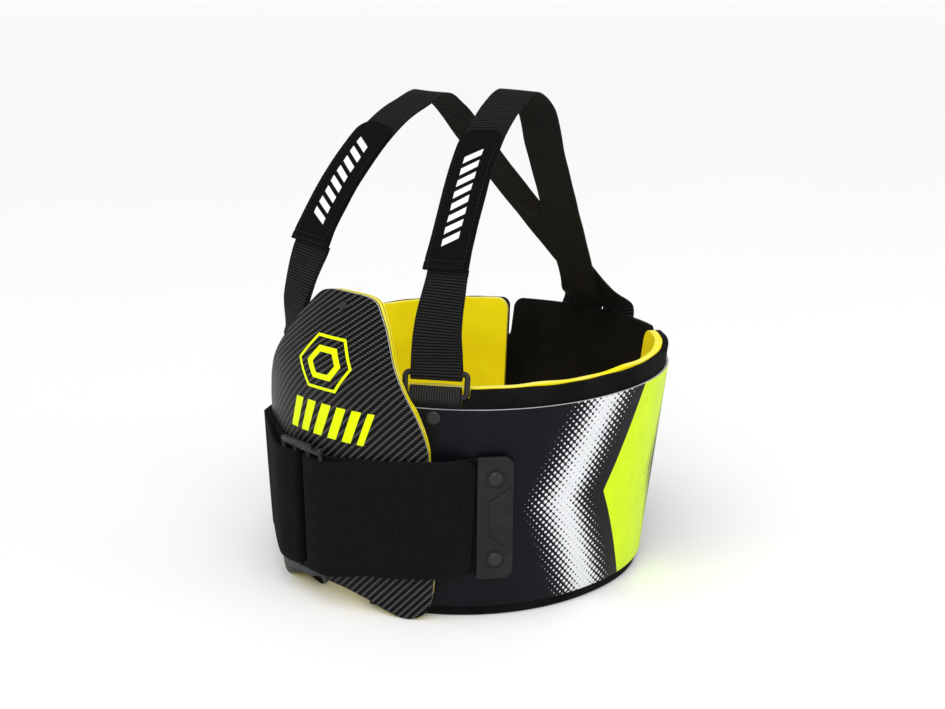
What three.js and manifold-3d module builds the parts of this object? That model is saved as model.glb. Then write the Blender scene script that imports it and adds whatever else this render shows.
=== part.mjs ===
import * as THREE from 'three';
import { mergeVertices } from 'three/addons/utils/BufferGeometryUtils.js';
import Module from 'manifold-3d';

const wasm = await Module();
wasm.setup();

// Rib protector: a bent chest plate, two printed side shells lined with foam, a foam back panel,
// two front belts on a four-bar buckle, and shoulder straps that cross behind.
// Millimetres, Z up, the front towards -Y, the wearer's left towards +X.
// Heights are counted from the lower edge of the shells, and the whole stands hung from the
// origin, which lies midway between the undersides of the straps on the shoulders.

// The oval body, outside the shells, at their upper and lower edges
const topWidth = 321;
const topDepth = 321;
const lowWidth = 288;
const lowDepth = 296;
const lowForward = 8.6;
const shellHeight = 163;
const ovalPower = 2.11;

// Layers, from the shells' outer face inwards and outwards
const clearance = 0.3;
const shellWall = 2.2;
const foamWall = 5;
const liningWall = 6;
const padWall = 9;
const plateWall = 2.2;

// Heights of the soft layers' edges over the shells' upper edge and under their lower edge
const foamRise = 15;
const foamDrop = 8.2;
const liningRise = 16;
const liningDrop = 4;
const cornerRadius = 6;

// Where each layer begins in front and ends behind, in degrees round the body from the front
const shellStart = 15;
const shellEnd = 158;
const foamStart = 11;
const foamEnd = 148.2;
const liningStart = 13;
const liningEnd = 148;
const columnStep = 5;

// The slit between each side and the back panel
const slitWidth = 3;
const slitDepth = 33;

// Chest plate and its pad
const plateHalfWidth = 93;
const plateTop = 241;
const plateBottom = -8.4;
const plateFlatHeight = 172;
const plateBendHeight = 28;
const plateLean = 0.55;
const ringRoom = 2.7;

// Front belts and buckle
const beltWidth = 95;
const beltWall = 2.8;
const beltHeightAtBuckle = 66;
const beltHeightAtBracket = 77;
const beltCorner = 10;
const beltEndGap = 2.6;
const beltSettle = 38;
const buckleOffCentre = -20;
const innerBarSpacing = 18;
const outerBarSpacing = 50;
const barRadius = 2;
const barSides = 12;
const railHeight = 6;
const railGap = 2.5;

// Belt brackets and rivets
const bracketAngle = 51.3;
const bracketWidth = 28;
const bracketHeight = 101;
const bracketWall = 4;
const bracketChamfer = 5;
const rivetInset = 17;
const rivetHeadRadius = 5;
const rivetHeadHeight = 1.8;
const rivetShankRadius = 2.2;
const rivetSides = 12;
const plateRivetDrop = 10;

// Strap rings and the tabs that hold them
const webbingWidth = 40;
const webbingWall = 2;
const tabWall = 1.4;
const tabDepth = 22;
const tabLoop = 2.5;
const tabBowShare = 1.15;
const ringAngle = 32.5;
const ringOffset = -3;
const ringTilt = 20;
const ringInnerWidth = 44;
const ringHeight = 22;
const ringWire = 4.5;
const ringWall = 2.6;
const ringLift = 7.5;
const ringSideGap = 0.8;
const tabRivetDrop = 7;

// Shoulder straps
const shoulderHeight = 390;
const shoulderSpread = 119;
const shoulderBack = -12;
const backStart = { x: 57.5, y: 8, down: 12 };
const crossHeight = 220;
const crossBack = 129.5;
const crossSlack = 2;
const footLength = 56;
const footGap = 3;
const doubledShare = 0.38;
const labelWidth = 43;
const labelWall = 3;
const labelCorner = 7;
const labelFrom = 0.36;
const labelTo = 0.86;

const bodyRadius = (topWidth + topDepth + lowWidth + lowDepth) / 8;
const plateFace = padWall + plateWall + 2 * clearance;
const foamFace = -(shellWall + clearance);
const liningFace = foamFace - foamWall - clearance;
const beltRadius = barRadius + clearance + beltWall / 2;
const degrees = THREE.MathUtils.degToRad;
const mix = THREE.MathUtils.lerp;

const group = new THREE.Group();
const hung = new THREE.Group();
hung.position.z = -shoulderHeight;
group.add(hung);

const finishes = {
  carbon: new THREE.MeshStandardMaterial({ color: 0x1c1d20, roughness: 0.3, metalness: 0.1 }),
  yellowFoam: new THREE.MeshStandardMaterial({ color: 0xf2e21a, roughness: 0.85 }),
  blackFoam: new THREE.MeshStandardMaterial({ color: 0x0b0b0c, roughness: 0.95 }),
  shell: new THREE.MeshStandardMaterial({ color: 0x0c0d14, roughness: 0.45 }),
  belt: new THREE.MeshStandardMaterial({ color: 0x101010, roughness: 0.95 }),
  webbing: new THREE.MeshStandardMaterial({ color: 0x131313, roughness: 0.8 }),
  plastic: new THREE.MeshStandardMaterial({ color: 0x202123, roughness: 0.5 }),
  metal: new THREE.MeshStandardMaterial({ color: 0x2a2b2e, roughness: 0.4, metalness: 0.6 }),
};

function addPiece(name, finish, geometry) {
  const mesh = new THREE.Mesh(geometry, finishes[finish]);
  mesh.name = name;
  hung.add(mesh);
}

function volumeOf(positions, index) {
  const [a, b, c] = [0, 1, 2].map(() => new THREE.Vector3());
  let sum = 0;
  for (let i = 0; i < index.length; i += 3) {
    a.fromArray(positions, index[i] * 3);
    b.fromArray(positions, index[i + 1] * 3);
    c.fromArray(positions, index[i + 2] * 3);
    sum += a.dot(b.cross(c)) / 6;
  }
  return sum;
}

// A closed solid between two faces that are both grids of columns by rows.
// place(column, row, face) gives each corner, with face 0 within and face 1 without.
function gridSolid(columns, rows, place) {
  const positions = [];
  for (const face of [0, 1]) {
    for (let i = 0; i < columns; i++) {
      for (let j = 0; j < rows; j++) positions.push(...place(i, j, face).toArray());
    }
  }
  const at = (face, i, j) => (face * columns + i) * rows + j;
  const index = [];
  const quad = (a, b, c, d) => index.push(a, b, c, a, c, d);
  const endColumn = columns - 1;
  const endRow = rows - 1;
  for (let i = 0; i < endColumn; i++) {
    for (let j = 0; j < endRow; j++) {
      quad(at(1, i, j), at(1, i + 1, j), at(1, i + 1, j + 1), at(1, i, j + 1));
      quad(at(0, i, j), at(0, i, j + 1), at(0, i + 1, j + 1), at(0, i + 1, j));
    }
    quad(at(0, i, 0), at(0, i + 1, 0), at(1, i + 1, 0), at(1, i, 0));
    quad(at(0, i, endRow), at(1, i, endRow), at(1, i + 1, endRow), at(0, i + 1, endRow));
  }
  for (let j = 0; j < endRow; j++) {
    quad(at(0, 0, j), at(1, 0, j), at(1, 0, j + 1), at(0, 0, j + 1));
    quad(at(0, endColumn, j), at(0, endColumn, j + 1), at(1, endColumn, j + 1), at(1, endColumn, j));
  }
  if (volumeOf(positions, index) < 0) index.reverse();
  const geometry = new THREE.BufferGeometry();
  geometry.setAttribute('position', new THREE.Float32BufferAttribute(positions, 3));
  geometry.setIndex(index);
  return geometry;
}

function toSolid(source) {
  const geometry = source.clone();
  geometry.deleteAttribute('normal');
  geometry.deleteAttribute('uv');
  const merged = mergeVertices(geometry, 1e-3);
  return new wasm.Manifold(new wasm.Mesh({
    numProp: 3,
    vertProperties: new Float32Array(merged.attributes.position.array),
    triVerts: new Uint32Array(merged.index.array),
  }));
}

function fromSolid(solid) {
  const mesh = solid.getMesh();
  const geometry = new THREE.BufferGeometry();
  geometry.setAttribute('position', new THREE.BufferAttribute(new Float32Array(mesh.vertProperties), 3));
  geometry.setIndex(new THREE.BufferAttribute(new Uint32Array(mesh.triVerts), 1));
  return geometry;
}

function joined(parts) {
  return fromSolid(parts.map(toSolid).reduce((a, b) => a.add(b)));
}

function cutBy(body, tools) {
  return fromSolid(tools.map(toSolid).reduce((a, b) => a.subtract(b), toSolid(body)));
}

// A point of the oval body at an angle in degrees from the front, at a height, and at a distance
// outside the shells' outer face.
function onBody(angle, z, offset) {
  const share = z / shellHeight;
  const halfWidth = mix(lowWidth, topWidth, share) / 2 + offset;
  const halfDepth = mix(lowDepth, topDepth, share) / 2 + offset;
  const bow = (value) => Math.sign(value) * Math.abs(value) ** (2 / ovalPower);
  const turned = degrees(angle);
  const x = halfWidth * bow(Math.sin(turned));
  const y = -halfDepth * bow(Math.cos(turned)) - lowForward * (1 - share);
  return new THREE.Vector3(x, y, z);
}

function angleOf(x, z, offset) {
  const halfWidth = mix(lowWidth, topWidth, z / shellHeight) / 2 + offset;
  const share = Math.min(1, Math.abs(x) / halfWidth);
  return THREE.MathUtils.radToDeg(Math.asin(share ** (ovalPower / 2))) * Math.sign(x);
}

const arc = (length) => THREE.MathUtils.radToDeg(length / bodyRadius);

// A frame on the body whose x runs round it, whose y runs up it and whose z points out of it.
function bodyFrame(angle, z, offset) {
  const probe = 0.5;
  const centre = onBody(angle, z, offset);
  const round = onBody(angle + probe, z, offset).sub(onBody(angle - probe, z, offset)).normalize();
  const up = onBody(angle, z + probe, offset).sub(onBody(angle, z - probe, offset));
  up.addScaledVector(round, -up.dot(round)).normalize();
  const out = new THREE.Vector3().crossVectors(round, up);
  return new THREE.Matrix4().makeBasis(round, up, out).setPosition(centre);
}

// Angles from one end to the other with the body's common stations between, and extra ones.
function stations(from, to, extra = []) {
  const list = [from, to, ...extra.filter((angle) => angle > from && angle < to)];
  for (let a = Math.ceil(from / columnStep) * columnStep; a < to; a += columnStep) list.push(a);
  list.sort((a, b) => a - b);
  return list.filter((angle, i) => i === 0 || angle - list[i - 1] > 0.2 || angle === to)
    .filter((angle, i, kept) => angle === to || i === 0 || to - angle > 0.2);
}

// A sheet round the body, given the angle stations and each one's low and high edge and faces.
function wrappedSheet(angles, side, edges, faces) {
  return gridSolid(angles.length, 2, (i, j, face) => {
    const angle = angles[i];
    return onBody(side * angle, edges(angle)[j], faces(angle)[face]);
  });
}

// How much lower an edge runs at a distance from a rounded corner.
function roundOff(distance, radius) {
  const inside = Math.max(0, radius - distance);
  return radius - Math.sqrt(Math.max(0, radius * radius - inside * inside));
}

function rivetCutter(frame, depth) {
  const radius = rivetShankRadius + clearance;
  return new THREE.CylinderGeometry(radius, radius, depth * 2, rivetSides)
    .rotateX(Math.PI / 2).applyMatrix4(frame);
}

// A rivet whose head sits just over a face and whose shank goes down through the layers under it.
function rivet(frame, seat, depth, headRadius = rivetHeadRadius, headHeight = rivetHeadHeight) {
  const shank = rivetShankRadius * headRadius / rivetHeadRadius;
  const profile = [
    [0, seat - depth],
    [shank, seat - depth],
    [shank, seat],
    [headRadius, seat],
    [headRadius * 0.8, seat + headHeight * 0.8],
    [0, seat + headHeight],
  ].map(([x, y]) => new THREE.Vector2(x, y));
  return new THREE.LatheGeometry(profile, rivetSides).rotateX(Math.PI / 2).applyMatrix4(frame);
}

// Side shells with the holes for the rivets of the bracket and of the ring's tab
const bracketSeat = 2 * clearance + beltWall;
const bracketFrame = (side) => bodyFrame(side * bracketAngle, beltHeightAtBracket, 0);
const rivetPlaces = [-1, 1].map((end) => end * (bracketHeight / 2 - rivetInset));
const tabRivetFrame = (side) => bodyFrame(side * ringAngle, shellHeight - tabRivetDrop, 0);

function bracketRivetFrame(side, place) {
  return bracketFrame(side).multiply(new THREE.Matrix4().makeTranslation(0, place, 0));
}

function addShell(side, name) {
  const angles = stations(shellStart, shellEnd);
  const sheet = wrappedSheet(angles, side, () => [0, shellHeight], () => [-shellWall, 0]);
  const depth = shellWall + clearance + bracketSeat;
  const cutters = rivetPlaces.map((place) => rivetCutter(bracketRivetFrame(side, place), depth));
  cutters.push(rivetCutter(tabRivetFrame(side), depth));
  addPiece(`side_shell_${name}`, 'shell', cutBy(sheet, cutters));
}

// Black foam inside the shells, thinned where the ring's tab goes down behind the shell
const tabBow = tabBowShare * (webbingWidth / 2) ** 2 / (2 * bodyRadius);
const tabPlace = -(shellWall + clearance + tabBow + tabWall / 2);
const pocketFace = tabPlace - tabWall / 2 - clearance;
const pocketHalf = arc(webbingWidth / 2 + 2);
const notchHalf = arc(ringInnerWidth / 2 + ringWire + ringSideGap);
const pocketSlope = 1.5;
const underRing = ringLift - 3 * clearance;

// 0 within a stretch centred on the ring, and 1 from a short slope beyond its ends
function beyondRing(angle, half) {
  return THREE.MathUtils.clamp((Math.abs(angle - ringAngle) - half) / pocketSlope, 0, 1);
}

// Behind the tab the foam is pressed thin and ends level with the shell, and on both sides of it
// the foam ends just under the ring.
function addFoam(side, name) {
  const ends = [-1, 1].flatMap((end) => [pocketHalf, notchHalf].flatMap((half) => [
    ringAngle + end * half, ringAngle + end * (half + pocketSlope)]));
  const angles = stations(foamStart, foamEnd, ends);
  const edges = (angle) => {
    const rise = Math.max(
      foamRise * beyondRing(angle, notchHalf), underRing * beyondRing(angle, pocketHalf));
    return [-foamDrop, shellHeight + rise];
  };
  const faces = (angle) => {
    const pressed = Math.min(pocketFace, foamFace);
    return [foamFace - foamWall, mix(pressed, foamFace, beyondRing(angle, pocketHalf))];
  };
  addPiece(`side_foam_${name}`, 'blackFoam', wrappedSheet(angles, side, edges, faces));
}

// Back panel, in line with the side foam and slit apart from it near its top
function addBackPanel() {
  const gap = arc(clearance);
  const slit = arc(slitWidth);
  const top = shellHeight + foamRise;
  const levels = [-foamDrop, top - slitDepth - slitWidth, top - slitDepth, top];
  const halves = [gap, gap, slit, slit].map((open) => 180 - foamEnd - open);
  const columns = 2 * Math.ceil((180 - foamEnd) / columnStep) + 1;
  const sheet = gridSolid(columns, levels.length, (i, j, face) => {
    const angle = 180 + halves[j] * (2 * i / (columns - 1) - 1);
    return onBody(angle, levels[j], [foamFace - foamWall, foamFace][face]);
  });
  addPiece('back_panel', 'blackFoam', sheet);
}

// Yellow foam linings with rounded upper corners at their back ends
function addLining(side, name) {
  const corner = arc(cornerRadius);
  const nearEnd = [0.15, 0.5, 1].map((share) => liningEnd - corner * share);
  const angles = stations(liningStart, liningEnd, nearEnd);
  const top = shellHeight + liningRise;
  const sheet = wrappedSheet(angles, side, (angle) => {
    const distance = (liningEnd - angle) / corner * cornerRadius;
    return [-liningDrop, top - roundOff(distance, cornerRadius)];
  }, () => [liningFace - liningWall, liningFace]);
  addPiece(`side_lining_${name}`, 'yellowFoam', sheet);
}

// The chest plate's outline as shares of its half width and of its height above and below
const plateOutline = [
  { across: 0, top: 1, bottom: 16.4 },
  { across: 0.2, top: 0.998, bottom: 15.2 },
  { across: 0.31, top: 0.99, bottom: 13.4 },
  { across: 0.37, top: 0.977, bottom: 12.1 },
  { across: 0.43, top: 0.953, bottom: 10.8 },
  { across: 0.525, top: 0.912, bottom: 7.4 },
  { across: 0.6, top: 0.871, bottom: 4.6 },
  { across: 0.67, top: 0.83, bottom: 2.2 },
  { across: 0.74, top: 0.788, bottom: 0.4 },
  { across: 0.8, top: 0.75, bottom: 0 },
  { across: 0.86, top: 0.705, bottom: 1.6 },
  { across: 0.91, top: 0.664, bottom: 4.8 },
  { across: 0.95, top: 0.622, bottom: 10 },
  { across: 0.98, top: 0.581, bottom: 19 },
  { across: 1, top: 0.54, bottom: 36 },
];

// The plate stays on the body up to its bend and leans back above it.
function leanBack(z) {
  const over = Math.max(0, z - plateFlatHeight);
  if (over < plateBendHeight) return plateLean * over * over / (2 * plateBendHeight);
  return plateLean * (over - plateBendHeight / 2);
}

// A point on the plate's outer face, given across and up, or at another distance straight
// under or over it.
function onPlate(x, z, offset) {
  const level = Math.min(z, shellHeight);
  const point = onBody(angleOf(x, level, plateFace), level, offset);
  point.y += leanBack(z);
  point.z = z;
  return point;
}

// A layer on the plate's outline, in rows up to the shells' upper edge and rows above it.
// Above that edge its inner face lies further out by room.
function plateLayer(faces, room = 0) {
  const half = [...plateOutline].reverse().map((row) => ({ ...row, across: -row.across }));
  const columns = [...half.slice(0, -1), ...plateOutline];
  const below = [0, 0.35, 0.7, 1];
  const above = [0.12, 0.3, 0.5, 0.7, 0.85, 1];
  return gridSolid(columns.length, below.length + above.length, (i, j, face) => {
    const low = plateBottom + columns[i].bottom;
    const high = plateTop * columns[i].top;
    const joint = Math.min(shellHeight, mix(low, high, 0.8));
    const raised = j >= below.length;
    const z = raised ? mix(joint, high, above[j - below.length]) : mix(low, joint, below[j]);
    return onPlate(columns[i].across * plateHalfWidth, z, faces[face] + (raised && face === 0 ? room : 0));
  });
}

function plateRivetFrame() {
  const z = plateTop - plateRivetDrop;
  const probe = 0.5;
  const up = onPlate(0, z + probe, plateFace).sub(onPlate(0, z - probe, plateFace)).normalize();
  const round = new THREE.Vector3(1, 0, 0);
  const out = new THREE.Vector3().crossVectors(round, up);
  return new THREE.Matrix4().makeBasis(round, up, out).setPosition(onPlate(0, z, plateFace));
}

function addPlate() {
  const frame = plateRivetFrame();
  const plate = plateLayer([plateFace - plateWall, plateFace]);
  addPiece('front_plate', 'carbon', cutBy(plate, [rivetCutter(frame, plateWall * 1.2)]));
  addPiece('front_pad', 'yellowFoam', plateLayer([clearance, clearance + padWall], ringRoom));
  const [headRadius, headHeight] = [rivetHeadRadius * 0.7, rivetHeadHeight * 0.7];
  addPiece('plate_rivet', 'metal', rivet(frame, clearance, plateWall * 0.8, headRadius, headHeight));
}

// The buckle's own frame, which lies along the plate at its place on it
function buckleFrame() {
  const probe = 0.5;
  const offset = plateFace + clearance + beltWall / 2 + beltRadius;
  const at = (x, z) => onPlate(x, z, offset);
  const x = buckleOffCentre;
  const z = beltHeightAtBuckle;
  const round = at(x + probe, z).sub(at(x - probe, z)).normalize();
  const up = at(x, z + probe).sub(at(x, z - probe));
  up.addScaledVector(round, -up.dot(round)).normalize();
  const out = new THREE.Vector3().crossVectors(round, up);
  return new THREE.Matrix4().makeBasis(round, up, out).setPosition(at(x, z));
}

const barPlaces = [-outerBarSpacing / 2, -innerBarSpacing / 2, innerBarSpacing / 2, outerBarSpacing / 2];

function addBuckle() {
  const railCentre = beltWidth / 2 + railGap + railHeight / 2;
  const bar = new THREE.CylinderGeometry(barRadius, barRadius, 2 * railCentre, barSides);
  const bars = barPlaces.map((x) => bar.clone().translate(x, 0, 0));
  const half = outerBarSpacing / 2 + barRadius;
  const outline = new THREE.Shape();
  const bend = railHeight / 3;
  outline.moveTo(-half + bend, -railHeight / 2).lineTo(half - bend, -railHeight / 2);
  outline.lineTo(half, -railHeight / 2 + bend).lineTo(half, railHeight / 2 - bend);
  outline.lineTo(half - bend, railHeight / 2).lineTo(-half + bend, railHeight / 2);
  outline.lineTo(-half, railHeight / 2 - bend).lineTo(-half, -railHeight / 2 + bend);
  const wall = barRadius * 1.9;
  const rail = new THREE.ExtrudeGeometry(outline, { depth: wall, bevelEnabled: false });
  const rails = [-1, 1].map((end) => rail.clone().translate(0, end * railCentre, -wall / 2));
  addPiece('centre_buckle', 'plastic', joined([...bars, ...rails]).applyMatrix4(buckleFrame()));
}

// How high the belt's middle runs between the plate's edge and the bracket, as a share of the
// step from the shell up to the plate
const beltDrop = [
  { share: 0, height: 1 },
  { share: 0.12, height: 0.976 },
  { share: 0.9, height: 0.07 },
  { share: 1, height: 0 },
];

// How the belt's outer layer runs over the buckle: shares of the way from the inner bar to the
// outer one, and heights over the bars' middle as shares of the belt's own turning radius
const beltHump = [
  { share: 0.35, height: 1.17 },
  { share: 1, height: 1.1 },
  { share: 1.65, height: 0.3 },
];

function dropAt(share) {
  const next = Math.max(1, beltDrop.findIndex((row) => row.share >= share));
  const [from, to] = [beltDrop[next - 1], beltDrop[next]];
  return mix(from.height, to.height, (share - from.share) / (to.share - from.share));
}

// The line of a belt's middle at one level: from under the bracket up over the plate's edge and
// along the plate, round a bar of the buckle, and back over itself to its rounded free end.
function beltLine(side, edge) {
  const frame = buckleFrame();
  const rise = edge * beltWidth / 2;
  const lay = plateFace + clearance + beltWall / 2;
  const shellLay = clearance + beltWall / 2;
  const step = beltWall + clearance;
  const bar = innerBarSpacing / 2;
  const outerBar = outerBarSpacing / 2;
  const local = (u, v) => new THREE.Vector3(side * u, rise, v).applyMatrix4(frame);
  const reach = plateHalfWidth - side * buckleOffCentre;
  const bracketFrom = bracketAngle - arc(bracketWidth / 2);
  const edgeAngle = angleOf(plateHalfWidth, beltHeightAtBuckle, plateFace);
  const endAngle = bracketFrom - arc(beltEndGap);
  const level = (share) => mix(beltHeightAtBuckle, beltHeightAtBracket, share) + rise;
  const onTop = (share, offset) => {
    const x = buckleOffCentre + side * reach * share;
    return onPlate(x, level(share), offset);
  };
  const dropped = (share, lift, cut = 0) => {
    const angle = side * mix(edgeAngle, endAngle, share);
    return onBody(angle, level(1) - edge * cut, mix(shellLay, lay, dropAt(share)) + lift);
  };
  const points = [];
  for (const share of [0.95, 0.7, 0.4, 0.1]) {
    points.push(onBody(side * (bracketFrom + arc(bracketWidth) * share), level(1), shellLay));
  }
  for (const share of [1, 0.9, 0.5, 0.12, 0]) points.push(dropped(share, 0));
  for (const share of [0.95, 0.85, 0.75, 0.65, 0.55, 0.45, 0.35]) points.push(onTop(share, lay));
  points.push(local(bar + beltRadius * 1.4, -beltRadius));
  const turns = 8;
  for (let k = 0; k <= turns; k++) {
    const turn = -Math.PI / 2 - Math.PI * k / turns;
    points.push(local(bar + beltRadius * Math.cos(turn), beltRadius * Math.sin(turn)));
  }
  for (const { share, height } of beltHump) {
    points.push(local(mix(bar, outerBar, share), height * beltRadius));
  }
  const start = (outerBar + barRadius + beltSettle) / reach;
  for (const share of [0, 0.25, 0.5, 0.75]) points.push(onTop(mix(start, 1, share), lay + step));
  for (const share of [0, 0.12, 0.3]) points.push(dropped(share, step));
  const dropLength = (endAngle - edgeAngle) / arc(1);
  for (const share of [1, 0.5, 0.15, 0]) {
    const fromEnd = share * beltCorner;
    points.push(dropped(1 - fromEnd / dropLength, step, roundOff(fromEnd, beltCorner)));
  }
  return points;
}

// Each point's direction in plan, from its neighbours, turned to point across the line
function planNormals(points) {
  return points.map((point, i) => {
    const before = points[Math.max(0, i - 1)];
    const after = points[Math.min(points.length - 1, i + 1)];
    const along = after.clone().sub(before).setZ(0).normalize();
    return new THREE.Vector3(along.y, -along.x, 0);
  });
}

function addBelt(side, name) {
  const lines = [-1, 1].map((edge) => beltLine(side, edge));
  const normals = lines.map(planNormals);
  const band = gridSolid(lines[0].length, 2, (i, j, face) => {
    return lines[j][i].clone().addScaledVector(normals[j][i], (face - 0.5) * beltWall);
  });
  const depth = bracketSeat + shellWall;
  const cutters = rivetPlaces.map((place) => rivetCutter(bracketRivetFrame(side, place), depth));
  addPiece(`belt_${name}`, 'belt', cutBy(band, cutters));
}

function addBracket(side, name) {
  const half = bracketWidth / 2;
  const tall = bracketHeight / 2;
  const outline = new THREE.Shape();
  outline.moveTo(-half, -tall).lineTo(half - bracketChamfer, -tall).lineTo(half, -tall + bracketChamfer);
  outline.lineTo(half, tall - bracketChamfer).lineTo(half - bracketChamfer, tall).lineTo(-half, tall);
  const bar = new THREE.ExtrudeGeometry(outline, { depth: bracketWall, bevelEnabled: false });
  if (side < 0) bar.rotateY(Math.PI).translate(0, 0, bracketWall);
  bar.translate(0, 0, bracketSeat).applyMatrix4(bracketFrame(side));
  const frames = rivetPlaces.map((place) => bracketRivetFrame(side, place));
  const seat = bracketSeat + bracketWall + clearance;
  const cutters = frames.map((frame) => rivetCutter(frame, 2 * seat));
  addPiece(`belt_bracket_${name}`, 'plastic', cutBy(bar, cutters));
  frames.forEach((frame, i) => {
    addPiece(`bracket_rivet_${name}_${i + 1}`, 'metal', rivet(frame, seat, seat + shellWall));
  });
}

// Strap ring: a flat frame that leans inwards above the shell's edge. Its frame lies at the
// middle of its lower bar, which the tab goes round, and the strap goes round the upper bar.
const lowerBar = shellHeight + ringLift + ringWire / 2;
const barSpacing = ringHeight - ringWire;
const tabFrame = (side) => bodyFrame(side * ringAngle, lowerBar, ringOffset);

function ringFrame(side) {
  return tabFrame(side).multiply(new THREE.Matrix4().makeRotationX(-degrees(ringTilt)));
}

function addRing(side, name) {
  const halfWidth = ringInnerWidth / 2 + ringWire;
  const half = ringHeight / 2;
  const bend = 0.9 * ringWire;
  const outline = new THREE.Shape();
  outline.moveTo(-halfWidth + bend, -half).lineTo(halfWidth - bend, -half);
  outline.lineTo(halfWidth - bend / 3, -half + bend / 3).lineTo(halfWidth, -half + bend);
  outline.lineTo(halfWidth, half - bend).lineTo(halfWidth - bend / 3, half - bend / 3);
  outline.lineTo(halfWidth - bend, half).lineTo(-halfWidth + bend, half);
  outline.lineTo(-halfWidth + bend / 3, half - bend / 3);
  outline.lineTo(-halfWidth, half - bend).lineTo(-halfWidth, -half + bend);
  outline.lineTo(-halfWidth + bend / 3, -half + bend / 3);
  const hole = new THREE.Path();
  const inner = ringInnerWidth / 2;
  const low = half - ringWire;
  hole.moveTo(-inner, -low).lineTo(-inner, low).lineTo(inner, low).lineTo(inner, -low);
  outline.holes.push(hole);
  const ring = new THREE.ExtrudeGeometry(outline, { depth: ringWall, bevelEnabled: false });
  ring.translate(0, barSpacing / 2, -ringWall / 2).applyMatrix4(ringFrame(side));
  addPiece(`strap_ring_${name}`, 'plastic', ring);
}

// Points round the edge of a ring's bar, from one face of it to the other. The edge lies at
// height rim, and turn is 1 to go over the bar and -1 to go under it.
function roundBar(frame, radius, rim, turn, from) {
  const steps = 6;
  const points = [];
  for (let k = 0; k <= steps; k++) {
    const a = Math.PI * k / steps;
    const point = new THREE.Vector3(0, rim + turn * radius * Math.sin(a), from * radius * Math.cos(a));
    points.push(point.applyMatrix4(frame));
  }
  return points;
}

// Stations of a flat band along points: its width runs as near to the hint as it can.
function bandFrames(points, hints) {
  return points.map((point, i) => {
    const before = points[Math.max(0, i - 1)];
    const after = points[Math.min(points.length - 1, i + 1)];
    const along = after.clone().sub(before).normalize();
    const across = hints[i].clone().addScaledVector(along, -hints[i].dot(along)).normalize();
    return { point, across, out: new THREE.Vector3().crossVectors(across, along) };
  });
}

function band(frames, width, wall) {
  return gridSolid(frames.length, 2, (i, j, face) => {
    const { point, across, out } = frames[i];
    const place = point.clone().addScaledVector(across, (j - 0.5) * width);
    return place.addScaledVector(out, (face - 0.5) * wall);
  });
}

function addTab(side, name) {
  const frame = ringFrame(side);
  const upright = tabFrame(side);
  const radius = ringWall / 2 + clearance + tabWall / 2;
  const half = ringWire / 2;
  const shellEdge = -half - ringLift;
  const inPocket = tabPlace - ringOffset;
  const onRing = (height, out) => new THREE.Vector3(0, height, out).applyMatrix4(frame);
  const onShell = (height, out) => new THREE.Vector3(0, height, out).applyMatrix4(upright);
  const points = [
    onShell(shellEdge - tabDepth, inPocket),
    onShell(shellEdge - tabDepth / 2, inPocket),
    onShell(shellEdge + 0.6, inPocket),
    onShell(shellEdge + 0.4 * ringLift, inPocket + 0.35 * radius),
    onRing(-half - tabWall, radius),
    ...roundBar(frame, radius, half + tabLoop, 1, 1),
    onRing(-half - tabWall / 2, -radius),
    onShell(shellEdge + 0.5 * ringLift, inPocket + 0.4 * radius - tabWall - clearance),
  ];
  const round = new THREE.Vector3().setFromMatrixColumn(frame, 0);
  const frames = bandFrames(points, points.map(() => round));
  const rivetHole = rivetCutter(tabRivetFrame(side), 3 * shellWall);
  addPiece(`ring_tab_${name}`, 'webbing', cutBy(band(frames, webbingWidth, tabWall), [rivetHole]));
  const reach = clearance - tabPlace;
  addPiece(`tab_rivet_${name}`, 'metal', rivet(tabRivetFrame(side), clearance, reach));
}

// The front of a shoulder strap as shares of the way from the ring's upper bar to the shoulder
const strapFront = [
  { up: 0.14, inward: 0.12, back: 0.03 },
  { up: 0.34, inward: 0.25, back: 0.145 },
  { up: 0.54, inward: 0.41, back: 0.3 },
  { up: 0.74, inward: 0.64, back: 0.49 },
  { up: 0.87, inward: 0.78, back: 0.655 },
  { up: 0.95, inward: 0.92, back: 0.82 },
];

function shoulderPoint() {
  return new THREE.Vector3(shoulderSpread / 2, shoulderBack, shoulderHeight + webbingWall / 2);
}

function frontCurve() {
  const radius = ringWall / 2 + clearance + webbingWall / 2;
  const frame = ringFrame(1);
  const first = new THREE.Vector3(0, barSpacing + ringWire / 2, radius).applyMatrix4(frame);
  const top = shoulderPoint();
  const rows = strapFront.map(({ up, inward, back }) => new THREE.Vector3(
    mix(first.x, top.x, inward), mix(first.y, top.y, back), mix(first.z, top.z, up)));
  return { first, rows, top };
}

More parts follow.
